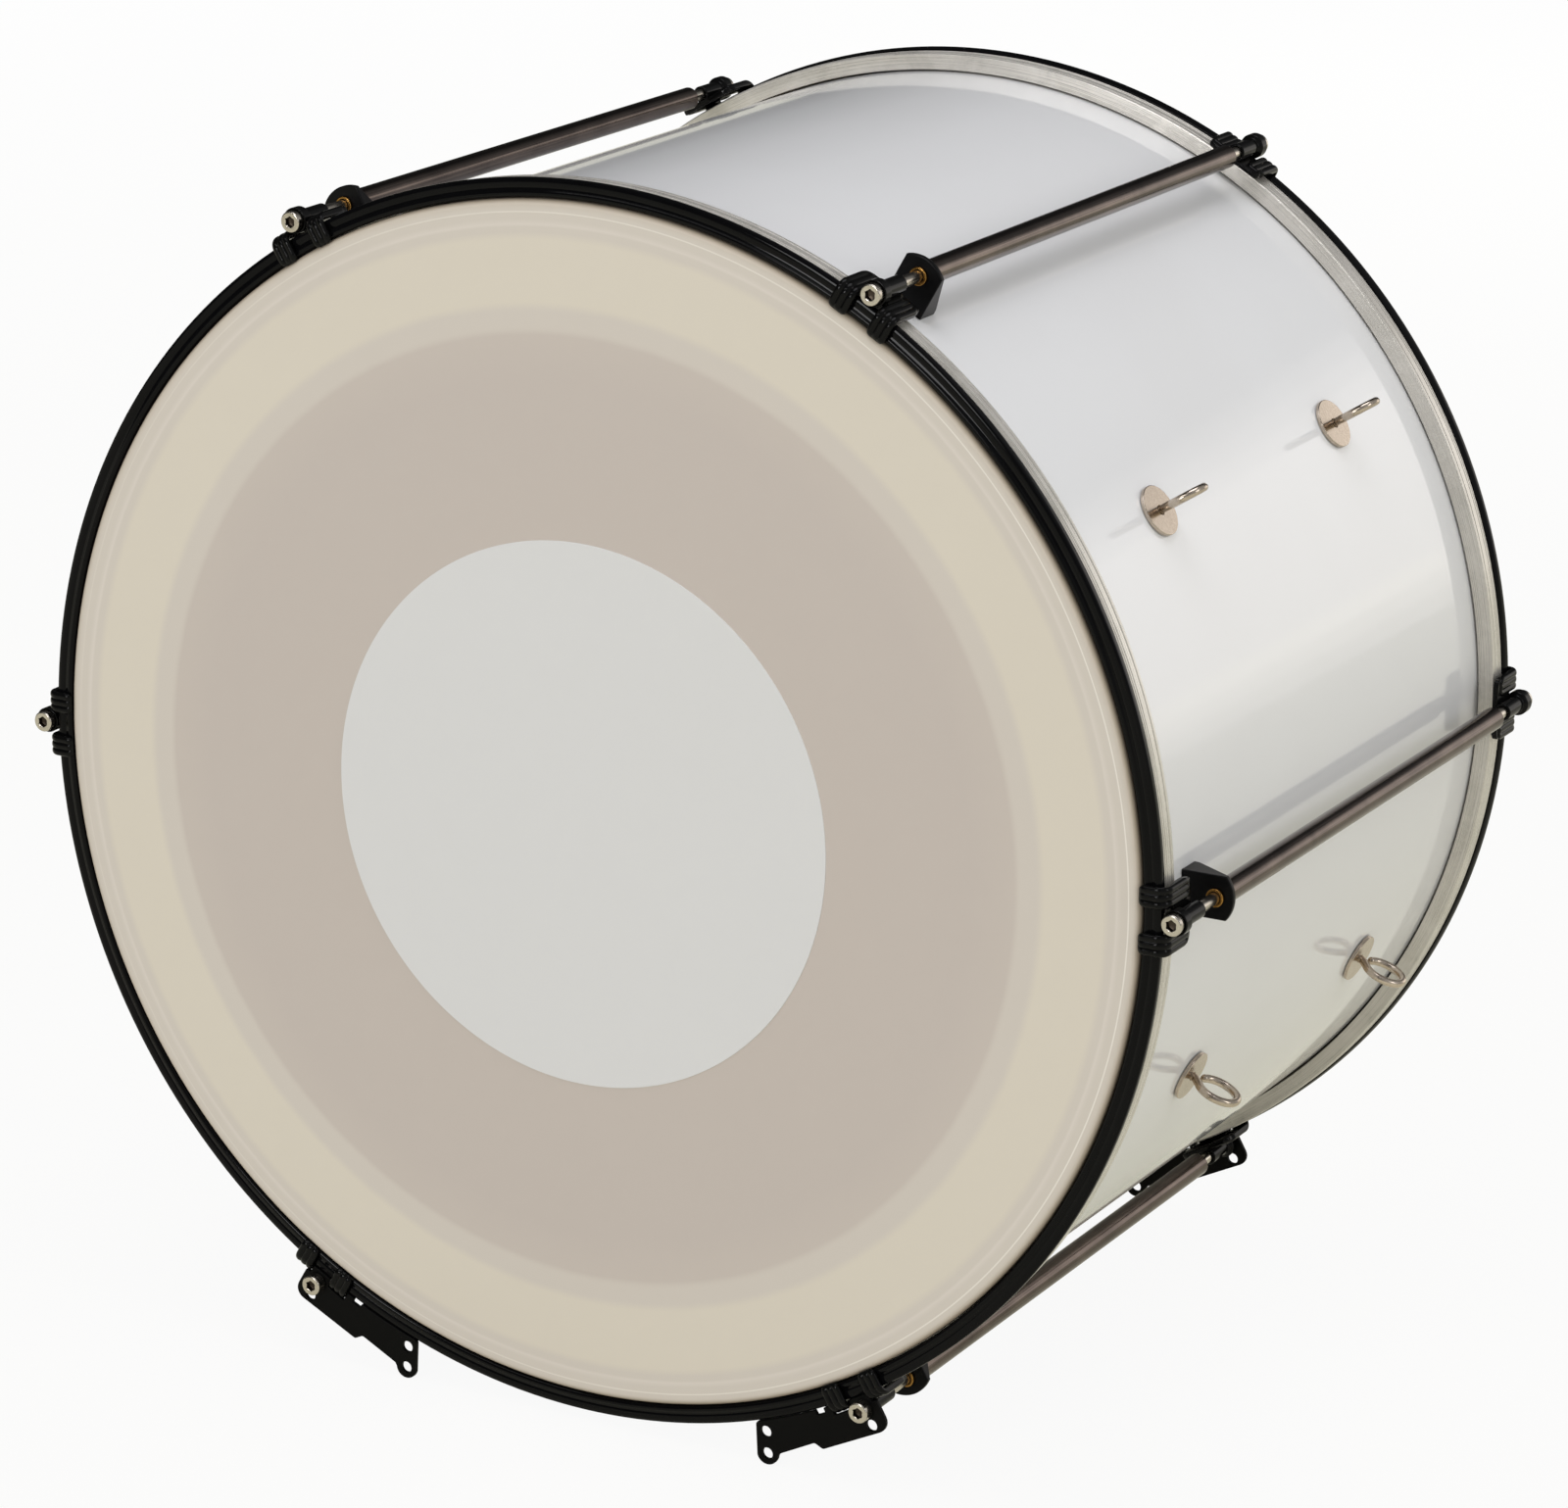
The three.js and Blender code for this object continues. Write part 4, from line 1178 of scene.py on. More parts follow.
    def dress(self, scene: Scene, palette: Palette) -> None:
        """Adds the end's head and hoops.

        Args:
            scene: takes the pieces.
            palette: the materials.
        """
        name, turn = self.end.value, self.end.turn
        film = palette["playing_film" if self.end is End.FRONT else "film"]
        scene.add(f"{name}_film", self.build_film().turned(turn), film, "drum", "film", f"{name}_head")
        flesh = self.build_flesh_hoop()
        # The groove floors take the darker material, painted shade in the grooves.
        scene.add(
            f"{name}_flesh_ring", flesh.turned(turn), palette["flesh_hoop"],
            "drum", "flesh_hoop", f"{name}_flesh_hoop", (palette["groove"], self.in_groove(flesh)),
        )
        scene.add(
            f"{name}_rim_ring", self.build_counter_hoop().turned(turn), palette["counter_hoop"],
            self.end.body, "counter_hoop", f"{name}_counter_hoop",
        )


@dataclass
class HeadLayers:
    """The round patch on the playing head and the muffling ring under it."""

    patch_core: float = 50.0
    patch_thickness: float = 0.4
    patch_edges: Pair = (0.05, 0.3)
    muffle_inner: float = 248.0
    muffle_outer: float = 297.5
    muffle_thickness: float = 0.5
    muffle_edge: float = 0.1
    muffle_steps: int = 192

    def dress(self, scene: Scene, palette: Palette) -> None:
        """Adds the patch and the ring.

        Args:
            scene: takes the pieces.
            palette: the materials.
        """
        core, face, top = self.patch_core, -FILM_FACE, -FILM_FACE - self.patch_thickness
        corners = [[core, face], [PATCH_RADIUS, face], [PATCH_RADIUS, top], [core, top]]
        patch = revolved(rounded(corners, [0, *self.patch_edges, 0]), RIM_STEPS, False)
        scene.add("patch_disc", patch, palette["patch"], "drum", "patch", "front_patch")
        front = FILM_THICKNESS - FILM_FACE
        back = front + self.muffle_thickness
        inner, outer = self.muffle_inner, self.muffle_outer
        section = rounded([[inner, front], [outer, front], [outer, back], [inner, back]], self.muffle_edge)
        ring = revolved(section, self.muffle_steps, True)
        scene.add("muffle_film_ring", ring, palette["muffle_film"], "drum", "muffle_film", "muffle_ring")


@dataclass
class Claw:
    """A cast claw: two ribbed hooks over the hoop, a web behind it and a barrel.

    A closing is the reach from the hook's tip or from its arm's end within which the width or
    the wall shrinks along a circle, and the share of it that is left at the very end.
    """

    collar_diameter: float = 13.0
    collar_length: float = 3.4
    collar_fall: float = 1.4
    barrel_diameter: float = 9.0
    barrel_length: float = 22.3
    cup_depth: float = 2.2
    cup_radius: float = 5.7
    collar_edge: float = 0.9
    cup_edges: Place = (0.4, 0.3, 0.5)
    sleeve_edges: tuple[float, ...] = (1.0, 1.2, 0.8, 0.2)
    lip_tip: float = 305.3
    lip_rise: float = 0.9
    lip_fall: float = 1.5
    lip_lead: float = 0.4
    brow_inset: float = 0.8
    hook_thickness: float = 2.9
    inner_bends: Pair = (1.2, 0.8)
    outer_bends: Pair = (4.5, 7.4)
    arm_end: float = 22.5
    rib_depth: float = 1.3
    rib_roundness: float = 0.8
    rib_rise: float = 2.0
    rib_stop: float = 1.4
    tip_wall_closing: float = 1.2
    end_wall_closing: float = 2.6
    tip_width_closing: Pair = (3.6, 0.55)
    end_width_closing: Pair = (5.4, 0.1)
    web_thickness: float = 3.0
    web_front: float = 8.0
    web_rear: float = 23.4
    web_tail: float = 25.0
    web_margin: float = 4.4
    web_tail_half: float = 3.4
    web_shoulder: Pair = (1.2, 3.5)
    web_bends: tuple[float, ...] = (0.5, 3.0, 4.0, 2.0)
    web_edge: float = 0.8

    def paths(self) -> tuple[Array, Array]:
        """Draws the hook's inner and outer paths.

        Both run under the lip, over the hoop's front and back along its side, with an arc at
        each of the two bends, and have the same number of points on each stretch.

        Returns:
            The paths as [radius, depth], point against point.
        """
        side, face = HOOP_OUTER_RADIUS + SEAT_GAP, -SEAT_GAP
        front, crown, bend = face - self.hook_thickness, side + CLAW_ARM, 16
        inner = [
            [self.lip_tip, face - self.lip_rise], [HOOP_INNER_RADIUS - SEAT_GAP, face],
            [side, face], [side, self.arm_end],
        ]
        outer = [
            [self.lip_tip - self.lip_lead, front + self.lip_fall],
            [HOOP_INNER_RADIUS + self.brow_inset, front], [crown, front], [crown, self.arm_end],
        ]
        stops = (0, 1, bend + 1, bend + 2, 2 * bend + 2, 2 * bend + 3)
        lip, brow, arm = 5, 12, 56
        stretches = zip(stops, stops[1:], (lip, bend, brow, bend, arm))
        at = np.concatenate([np.linspace(*stretch, endpoint=False) for stretch in stretches] + [stops[-1:]])
        drawn = []
        for corners, bends in ((inner, self.inner_bends), (outer, self.outer_bends)):
            line = rounded(corners, [0, *bends, 0], bend)
            number = np.arange(len(line))
            drawn.append(np.stack([np.interp(at, number, line[:, k]) for k in range(2)], axis=1))
        return drawn[0], drawn[1]

    def build_hook(self, middle: float) -> Solid:
        """Carries the hook's section over the hoop.

        Across the path the section is a flattened oval: half the wall times
        (1 - |s|^5)^(1/5) above and below its middle, where s goes from -1 to 1 over the width.
        Its outer face carries three round ribs: over each, with q from -1 to 1, it is lowered
        by the rib depth times 1 - sqrt(1 - 0.8 q^2). Wall, width and rib depth shrink along
        circles at both ends and close the hook round there.

        Args:
            middle: place of the hook's middle along the rim.

        Returns:
            One hook with its arm.
        """
        inner, outer = self.paths()
        centre, wall = (inner + outer) / 2, outer - inner
        reach = np.concatenate([[0], np.cumsum(np.linalg.norm(np.diff(centre, axis=0), axis=1))])
        left = reach[-1] - reach

        def closing(distance: Array, radius: float, kept: float = 0.0) -> Array:
            """Gives the rise of a circle of that radius over a distance from its edge."""
            share, least = np.clip(1 - distance / radius, 0, 1), 0.004
            return kept + (1 - kept) * np.sqrt(np.maximum(1 - share**2, least))

        thickness = np.linalg.norm(wall, axis=1)
        direction = wall / thickness[:, None]
        half = thickness / 2 * closing(reach, self.tip_wall_closing) * closing(left, self.end_wall_closing)
        narrowing = closing(left, *self.end_width_closing) * closing(reach, *self.tip_width_closing)
        half_width = HOOK_WIDTH / 2 * narrowing
        rib_start = np.clip(reach / self.rib_rise, 0, 1)
        ribs = self.rib_depth * rib_start * np.clip((left - self.rib_stop) / self.rib_rise, 0, 1)
        count, flatness = 3, 5
        across = np.sin(np.linspace(-np.pi / 2, np.pi / 2, 49))
        oval = (1 - np.abs(across) ** flatness) ** (1 / flatness)
        over = 2 * ((across + 1) / 2 * count % 1) - 1
        groove = 1 - np.sqrt(1 - self.rib_roundness * over**2)
        top = (half[:, None] - ribs[:, None] * groove) * oval
        bottom = -half[:, None] * oval
        rise = np.concatenate([top, bottom[:, ::-1][:, 1:-1]], axis=1)
        place = half_width[:, None] * np.concatenate([across, across[::-1][1:-1]])[None, :]
        radial = centre[:, :1] + direction[:, :1] * rise
        depth = centre[:, 1:] + direction[:, 1:] * rise
        return carried(np.stack([radial, rim_depth(depth), middle + place], axis=-1))

    def build_sleeve(self, cupped: bool) -> Solid:
        """Turns the collar and the barrel.

        Args:
            cupped: whether the collar reaches forward round the screw's head.

        Returns:
            Both in one, bored for the screw.
        """
        half_bore, front, collar = ROD_BORE / 2, rim_depth(CLAW_DEPTH), self.collar_diameter / 2
        barrel, end = self.barrel_diameter / 2, front + self.barrel_length
        neck, lip = front + self.collar_length, front - self.cup_depth
        mouth, bends = [[collar, front]], [self.collar_edge]
        if cupped:
            mouth = [[self.cup_radius, front], [self.cup_radius, lip], [collar, lip]]
            bends = self.cup_edges
        corners = [
            [half_bore, front], *mouth, [collar, neck], [barrel, neck + self.collar_fall],
            [barrel, end], [half_bore, end],
        ]
        return on_rod_axis(rounded(corners, [self.sleeve_edges[-1], *bends, *self.sleeve_edges]))

    def build_web(self) -> Solid:
        """Cuts the web that joins the hooks, narrowing to a tail under the barrel.

        Returns:
            The web, beside the hoop.
        """
        edge = HOOK_SPACING / 2 + self.web_margin
        fall, inset = self.web_shoulder
        line = [
            [rim_depth(self.web_front), edge], [rim_depth(self.web_rear), edge],
            [rim_depth(self.web_rear + fall), edge - inset], [rim_depth(self.web_tail), self.web_tail_half],
        ]
        outline = [[depth, -side] for depth, side in line] + line[::-1]
        low = HOOP_OUTER_RADIUS + 2 * SEAT_GAP
        bends = [*self.web_bends, *reversed(self.web_bends)]
        web = soft_plate(rounded(outline, bends), low, low + self.web_thickness, self.web_edge)
        return Solid(web.points[:, [2, 0, 1]], web.faces)

    def build(self, cupped: bool) -> Solid:
        """Joins hooks, web and barrel.

        Args:
            cupped: whether the collar reaches forward round the screw's head.

        Returns:
            The claw at the right station of the front.
        """
        hooks = [self.build_hook(hand * HOOK_SPACING / 2) for hand in (-1, 1)]
        return joined([self.build_sleeve(cupped), self.build_web(), *hooks])


@dataclass
class TensionScrew:
    """A socket head screw."""

    diameter: float = 6.0
    length: float = 70.0
    tip_bevel: float = 0.6
    head_diameter: float = 10.6
    head_height: float = 6.0
    head_edges: Pair = (0.8, 0.25)
    neck_edge: float = 0.15
    socket_width: float = 5.0
    socket_depth: float = 3.0
    socket_bevel: Pair = (0.45, 0.25)
    floor_share: float = 0.97
    floor_rise: float = 0.1
    drill_point: Pair = (0.9, 0.5)
    steps: int = 60

    def build(self, seat: float) -> Solid:
        """Turns the screw: the socket's floor, its hexagon, the head and the shank.

        Args:
            seat: depth of the face that the head bears on, behind the hoop's front plane.

        Returns:
            The screw at the right station of the front.
        """
        bearing = rim_depth(seat - SEAT_GAP)
        face, half = bearing - self.head_height, self.head_diameter / 2
        shank, socket, end = self.diameter / 2, self.socket_width / 2, bearing + self.length
        floor, (point, deeper), (flare, sink) = face + self.socket_depth, self.drill_point, self.socket_bevel
        line = [
            [point, floor + deeper], [socket * self.floor_share, floor],
            [socket, floor - self.floor_rise], [socket, face + sink],
        ]
        rim = rounded(
            [[socket + flare, face], [half, face], [half, bearing], [shank, bearing], [shank, end]],
            [0, *self.head_edges, self.neck_edge, self.tip_bevel],
        )
        rim[-1] = [shank, end - self.tip_bevel]
        profile = np.vstack([line, rim, [[shank - self.tip_bevel, end]]])
        return revolved(profile, self.steps, False, (1, 2, 3)).turned(np.eye(3), (ROD_AXIS, 0, 0))

    def in_socket(self, solid: Solid) -> Array:
        """Tells which faces lie in the socket; these get painted shade.

        Args:
            solid: the screw.

        Returns:
            For each face, whether it is one of the first three of its profile or the floor.
        """
        wall, caps = (len(block) for block in solid.faces)
        number = np.arange(wall + caps)
        return np.where(number < wall, number % (wall // self.steps) < 3, number == wall)


@dataclass
class TubeLug:
    """The lug that holds a tension tube's front end, with its stud and inner nut."""

    width: float = 22.0
    reach: float = 27.2
    nose_rise: float = 4.0
    foot_sink: float = 0.25
    plate_edge: float = 0.6
    web: float = 2.8
    web_inset: float = 0.02
    web_front: float = 1.2
    web_drop: float = 0.4
    web_bends: tuple[float, ...] = (0.3, 0.8, 1.2, 1.5, 0.3)
    base: float = 2.6
    base_inset: float = 0.1
    base_tail: float = 0.3
    base_edges: tuple[float, ...] = (0.1, 0.6, 0.8, 0.1)
    length: float = 14.5
    stud_diameter: float = 6.0
    stud_reach: float = 1.6

    def build(self) -> Solid:
        """Joins the upright, the webs, the curved base, the stud and the nut."""
        place = rim_depth(LUG_DEPTH + (LUG_PLATE + self.length) / 2)
        stud = wall_stud(self.stud_diameter, SHELL_RADIUS + self.stud_reach, place)
        return joined([self.build_upright(), *self.build_webs(), self.build_base(), stud])

    def build_upright(self) -> Solid:
        """Cuts the upright, its outer end an arc over the width that rises by the nose.

        Returns:
            The upright, bored for the bush.
        """
        front, half, nose = rim_depth(LUG_DEPTH), self.width / 2, SHELL_RADIUS + self.reach
        radius = (half**2 + self.nose_rise**2) / (2 * self.nose_rise)
        sweep = math.asin(half / radius)
        angle = np.linspace(-sweep, sweep, 25)
        arc = np.stack([nose - radius + radius * np.cos(angle), radius * np.sin(angle)], axis=1)
        foot = SHELL_RADIUS + SEAT_GAP - self.foot_sink
        outline = np.vstack([[[foot, half], [foot, -half]], arc])[::-1]
        bore = circle(ROD_AXIS, 0, BUSH_DIAMETER + 2 * SEAT_GAP)
        return across_axis(soft_plate(outline, front, front + LUG_PLATE, self.plate_edge, [bore]))

    def build_webs(self) -> list[Solid]:
        """Cuts the two side webs, which slope from the upright's shoulder down to the base.

        Returns:
            The webs.
        """
        front, half = rim_depth(LUG_DEPTH), self.width / 2
        foot, low = SHELL_RADIUS + SEAT_GAP - self.foot_sink, SHELL_RADIUS + self.base
        shoulder = SHELL_RADIUS + self.reach - self.nose_rise - self.web_drop
        back = front + self.length
        corners = [
            [foot, front + self.web_front], [shoulder, front + self.web_front],
            [shoulder, front + LUG_PLATE], [low, back], [foot, back],
        ]
        side = rounded(corners, self.web_bends)
        inner, outer = half - self.web, half - self.web_inset
        spans = ((-outer, -inner), (inner, outer))
        return [soft_plate(side, low, high, self.plate_edge) for low, high in spans]

    def build_base(self) -> Solid:
        """Bends the base round the shell: at a place z along the rim it lies at sqrt(r^2 - z^2).

        Returns:
            The base.
        """
        front, half = rim_depth(LUG_DEPTH), self.width / 2 - self.base_inset
        near, far = front + self.base_inset, front + self.length - self.base_tail
        corners = [[SEAT_GAP, near], [self.base, near], [self.base, far], [SEAT_GAP, far]]
        section = rounded(corners, self.base_edges)
        place = np.linspace(-half, half, 17)[:, None]
        radial = np.sqrt(SHELL_RADIUS**2 - place**2) + section[None, :, 0]
        along = np.broadcast_to(section[None, :, 1], radial.shape)
        return carried(np.stack([radial, along, np.broadcast_to(place, radial.shape)], axis=-1))


def wall_stud(diameter: float, reach: float, place: float) -> Solid:
    """Turns a stud through the shell's wall and the nut inside it.

    The nut's corners stay clear of a wall that is flat between its facets' edges.

    Args:
        diameter: the stud's diameter.
        reach: radius at which the stud ends.
        place: place along Y.

    Returns:
        The stud and its nut, pointing away from the axis at the right station.
    """
    half_facet, bevel, nut_bevel, tip, past = math.pi / 48, 0.5, 0.4, 0.3, 1.5
    inner = (SHELL_RADIUS - SHELL_WALL) * math.cos(half_facet)
    face = inner - NUT_WIDTH * math.tan(half_facet) - SEAT_GAP / 2
    half, flat, back = diameter / 2, NUT_WIDTH / 2, face - NUT_HEIGHT
    profile = np.array([
        [half - bevel, back - past], [half, back - past + bevel], [half, back],
        [flat - nut_bevel, back], [flat, back + bevel], [flat, face - nut_bevel], [flat - nut_bevel, face],
        [half, face], [half, reach - tip], [half - tip, reach],
    ])
    return revolved(profile, ROD_STEPS, False, (3, 4, 5, 6)).turned(ALONG_RADIUS, (0, place, 0))


@dataclass
class TubeAndBush:
    """The tension tube behind the lug and the brass bush in it."""

    tube_diameter: float = 12.0
    tube_edges: tuple[float, ...] = (0.3, 0.5, 1.0, 0.4)
    rear_gap: float = 37.0
    flange_diameter: float = 9.1
    flange_height: float = 1.2
    bush_edges: tuple[float, ...] = (0.3, 0.45, 0.1, 0.05, 0.2, 0.1)

    def build_tube(self) -> Solid:
        """Turns the tube, with softened ends.

        Returns:
            The tube at the right station.
        """
        front = rim_depth(LUG_DEPTH + LUG_PLATE + SEAT_GAP)
        back, bore, half = RIM_FACE - self.rear_gap, ROD_BORE / 2, self.tube_diameter / 2
        corners = [[bore, front], [half, front], [half, back], [bore, back]]
        return on_rod_axis(rounded(corners, self.tube_edges))

    def build_bush(self) -> Solid:
        """Turns the bush, its flange against the lug's front.

        Returns:
            The bush at the right station.
        """
        plate, bore = rim_depth(LUG_DEPTH), ROD_BORE / 2
        seat, flange, body = plate - SEAT_GAP, self.flange_diameter / 2, BUSH_DIAMETER / 2
        front, back = seat - self.flange_height, plate + LUG_PLATE
        corners = [[bore, front], [flange, front], [flange, seat], [body, seat], [body, back], [bore, back]]
        return on_rod_axis(rounded(corners, self.bush_edges))


@dataclass
class FootPlate:
    """The foot plate under a screw's head, with a round lobe that stands on the floor.

    A side is a place along the rim from the screw, a reach a distance outwards from it. The
    notch stands next to the hoop, beside a run that follows the hoop up to the lobe.
    """

    thickness: float = 2.5
    edge: float = 0.45
    tail: float = 9.0
    outer_reach: float = 14.2
    edge_fall: float = 2.4
    step_side: float = 33.0
    step_run: float = 3.0
    step: float = 4.4
    step_lean: float = 1.0
    lobe_side: float = 65.0
    lobe_reach: float = 4.0
    lobe_radius: float = 6.0
    lobe_angles: Pair = (-55.0, 104.0)
    lobe_lead: float = 0.6
    outer_bends: tuple[float, ...] = (1.0, 6.0, 2.0, 2.0, 1.2)
    run_bend: float = 5.0
    notch_bend: float = 0.5
    corner_bend: float = 0.6
    hole_diameter: float = 6.0
    outer_hole_reach: float = 9.1
    inner_hole_side: float = 60.0
    inner_hole_drop: float = 6.438
    notch_side: float = 22.0
    notch_width: float = 5.0
    notch_depth: float = 2.6
    hook_clearance: float = 0.12
    hoop_clearance: float = 0.05
    run_side: float = 62.8

    def on_hoop(self, side: float) -> list[float]:
        """Gives the point beside the hoop at a place along the rim."""
        return [math.sqrt((HOOP_OUTER_RADIUS + self.hoop_clearance) ** 2 - side**2), side]

    def outer_edge(self) -> list[tuple[list[float], float]]:
        """Draws the edge away from the hoop, from the tail to the lobe.

        Returns:
            Its corners, each with its bend, and then the points of the lobe's arc.
        """
        outer, start = ROD_AXIS + self.outer_reach, HOOP_OUTER_RADIUS + SEAT_GAP + CLAW_ARM
        fallen, stepped = outer - self.edge_fall, outer - self.edge_fall - self.step
        corners = [
            [start + self.hook_clearance, -self.tail], [outer, -self.tail], [fallen, self.step_side],
            [stepped, self.step_side + self.step_run],
            [stepped - self.step_lean, self.lobe_side - self.lobe_radius - self.lobe_lead],
        ]
        lobe = np.array([ROD_AXIS + self.lobe_reach, self.lobe_side])
        angle = np.radians(np.linspace(*self.lobe_angles, 24))[:, None]
        arc = lobe + self.lobe_radius * np.hstack([np.cos(angle), np.sin(angle)])
        return [*zip(corners, self.outer_bends), *((point, 0.0) for point in arc.tolist())]

    def inner_edge(self) -> list[tuple[list[float], float]]:
        """Draws the edge at the hoop: the run, the notch and the two slots for the hooks.

        Returns:
            Its corners, each with its bend.
        """
        hook_in = (HOOK_SPACING - HOOK_WIDTH) / 2 - self.hook_clearance
        hook_out = (HOOK_SPACING + HOOK_WIDTH) / 2 + self.hook_clearance
        top, notch_end = HOOP_OUTER_RADIUS + SEAT_GAP + CLAW_ARM, self.notch_side + self.notch_width
        run = [self.on_hoop(side) for side in np.linspace(self.run_side, notch_end, 12)]
        notch, near, bend = self.on_hoop(notch_end), self.on_hoop(self.notch_side), self.corner_bend
        return [
            (run[0], self.run_bend), *((point, 0.0) for point in run[1:-1]), (notch, bend),
            ([notch[0] + self.notch_depth, notch_end], self.notch_bend),
            ([near[0] + self.notch_depth, self.notch_side], self.notch_bend), (near, bend),
            (self.on_hoop(hook_out), bend), ([top, hook_out], bend), ([top, hook_in], bend),
            (self.on_hoop(hook_in), bend), (self.on_hoop(-hook_in), bend), ([top, -hook_in], bend),
        ]

    def build(self, hand: int) -> Solid:
        """Cuts the plate from sheet.

        Args:
            hand: the side of the screw on which the lobe lies, 1 or -1.

        Returns:
            The plate at the right station of the front.
        """
        corners, bends = zip(*self.outer_edge(), *self.inner_edge())
        outline = rounded(corners, bends, 6)
        front = rim_depth(CLAW_DEPTH - SEAT_GAP - self.thickness)
        mirror = np.array([1.0, float(hand)])
        holes = [
            circle(ROD_AXIS, 0, ROD_BORE), circle(ROD_AXIS + self.outer_hole_reach, 0, self.hole_diameter),
            circle(ROD_AXIS + self.lobe_reach, self.lobe_side, self.hole_diameter),
            circle(ROD_AXIS - self.inner_hole_drop, self.inner_hole_side, self.hole_diameter),
        ]
        holes = [hole * mirror for hole in holes]
        return across_axis(soft_plate(outline * mirror, front, front + self.thickness, self.edge, holes))


@dataclass
class EyeBolt:
    """A wire eye bolt for the carrying harness, with its washer and inner nut."""

    level: str
    end: End
    angle: float
    ring_width: float = 8.75
    ring_length: float = 10.4
    ring_offset: float = 1.2
    ring_angles: Pair = (212.0, 530.0)
    wire: float = 4.2
    wire_bend: float = 2.6
    wire_start: float = 2.0
    protrusion: float = 29.0
    washer_diameter: float = 26.0
    washer_thickness: float = 2.0
    washer_edges: tuple[float, ...] = (0.2, 0.4, 0.4, 0.4)
    spread: float = 201.0
    stem_lead: float = 2.4
    stem_diameter: float = 5.6
    stem_reach: float = 1.2

    def build_wire(self) -> Solid:
        """Carries a circle along the bent wire.

        The wire leaves the washer straight, bends sharply to one side and goes round an
        ellipse until its rounded tip nearly meets the stem. Each section is the wire's radius
        times (cos b n + sin b z), where n is the path's normal in its plane.

        Returns:
            The wire at the right station, half way along the shell.
        """
        half, least = self.wire / 2, 0.01
        middle = SHELL_RADIUS + self.protrusion - self.ring_length - half
        angle = np.radians(np.linspace(*self.ring_angles, 72))
        aside = self.ring_offset + self.ring_width * np.sin(angle)
        loop = np.stack([middle + self.ring_length * np.cos(angle), aside], axis=1)
        bend = middle - self.ring_length - self.stem_lead
        corners = np.vstack([[[SHELL_RADIUS - self.wire_start, 0.0], [bend, 0.0]], loop])
        radii = np.zeros(len(corners))
        radii[1] = self.wire_bend
        line = resampled(rounded(corners, radii, 6), 130)
        tangent = np.gradient(line, axis=0)
        tangent /= np.linalg.norm(tangent, axis=1)[:, None]
        normal = np.stack([-tangent[:, 1], tangent[:, 0]], axis=1)
        reach = np.concatenate([[0], np.cumsum(np.linalg.norm(np.diff(line, axis=0), axis=1))])
        share = np.clip(1 - (reach[-1] - reach) / half, 0, 1)
        radius = half * np.sqrt(np.maximum(1 - share**2, least))
        turn = np.linspace(0, 2 * np.pi, 20, endpoint=False)[None, :]
        out, up = radius[:, None] * np.cos(turn), radius[:, None] * np.sin(turn)
        flat = line[:, None, :] + normal[:, None, :] * out[..., None]
        return carried(np.concatenate([flat, up[..., None]], axis=-1))

    def build(self) -> Solid:
        """Joins wire, washer, stud and nut.

        Returns:
            The eye bolt at the right station, half way along the shell.
        """
        base = SHELL_RADIUS + SEAT_GAP
        half, bore, top = self.washer_diameter / 2, self.wire / 2 + SEAT_GAP, base + self.washer_thickness
        washer = rounded([[bore, base], [half, base], [half, top], [bore, top]], self.washer_edges)
        stud = wall_stud(self.stem_diameter, SHELL_RADIUS + self.stem_reach, 0.0)
        return joined([self.build_wire(), revolved(washer, 72, True).turned(ALONG_RADIUS), stud])

    def dress(self, scene: Scene, palette: Palette) -> None:
        """Adds the eye bolt at its place.

        Args:
            scene: takes the piece.
            palette: the materials.
        """
        along = (-0.5 if self.end is End.FRONT else 0.5) * self.spread
        solid = self.build().turned(turn_about_axis(self.angle), (0, along, 0))
        label = f"{self.level}_{self.end.value}"
        scene.add(
            f"harness_eye_{label}", solid, palette["eye_bolt"], "drum", "eye_bolt", f"eye_bolt_{label}"
        )


@dataclass
class TensionLine:
    """Everything at one station: lug, bush, tube, and at each end claw, screw and foot."""

    station: Station
    claw: Claw = field(default_factory=Claw)
    screw: TensionScrew = field(default_factory=TensionScrew)
    lug: TubeLug = field(default_factory=TubeLug)
    tube: TubeAndBush = field(default_factory=TubeAndBush)
    foot: FootPlate = field(default_factory=FootPlate)

    def dress(self, scene: Scene, palette: Palette) -> None:
        """Adds the station's pieces.

        Args:
            scene: takes the pieces.
            palette: the materials.
        """
        label, turn = self.station.label, self.station.turn
        for name, solid, slot, node in (
            ("cast_lug", self.lug.build(), "lug", "tube_lug"),
            ("brass_bush", self.tube.build_bush(), "bush", "lug_bush"),
            ("drawn_tube", self.tube.build_tube(), "tube", "tension_tube"),
        ):
            scene.add(f"{name}_{label}", solid.turned(turn), palette[slot], "drum", slot, f"{node}_{label}")
        for end in End:
            self.dress_end(end, scene, palette)

    def dress_end(self, end: End, scene: Scene, palette: Palette) -> None:
        """Adds the claw, the screw and any foot plate of one end.

        Args:
            end: the end.
            scene: takes the pieces.
            palette: the materials.
        """
        label, name = self.station.label, end.value
        turn = self.station.turn @ end.turn
        hand = self.station.foot_hand * (1 if end is End.FRONT else -1)
        seat = CLAW_DEPTH - (SEAT_GAP + self.foot.thickness if hand else 0.0)
        claw = self.claw.build(cupped=not hand).turned(turn)
        scene.add(
            f"{name}_cast_claw_{label}", claw, palette["claw"], end.body, "claw", f"{name}_claw_{label}"
        )
        screw = self.screw.build(seat).turned(turn)
        # The socket's faces take the darker steel, painted shade in the hollow of the head.
        scene.add(
            f"{name}_socket_screw_{label}", screw, palette["screw"], f"{name}_{label}_screw", "screw",
            f"{name}_screw_{label}", (palette["socket"], self.screw.in_socket(screw)),
        )
        if hand:
            foot = self.foot.build(hand).turned(turn)
            scene.add(
                f"{name}_sheet_foot_{label}", foot, palette["foot_plate"], end.body, "foot_plate",
                f"{name}_foot_{label}",
            )


# Stage


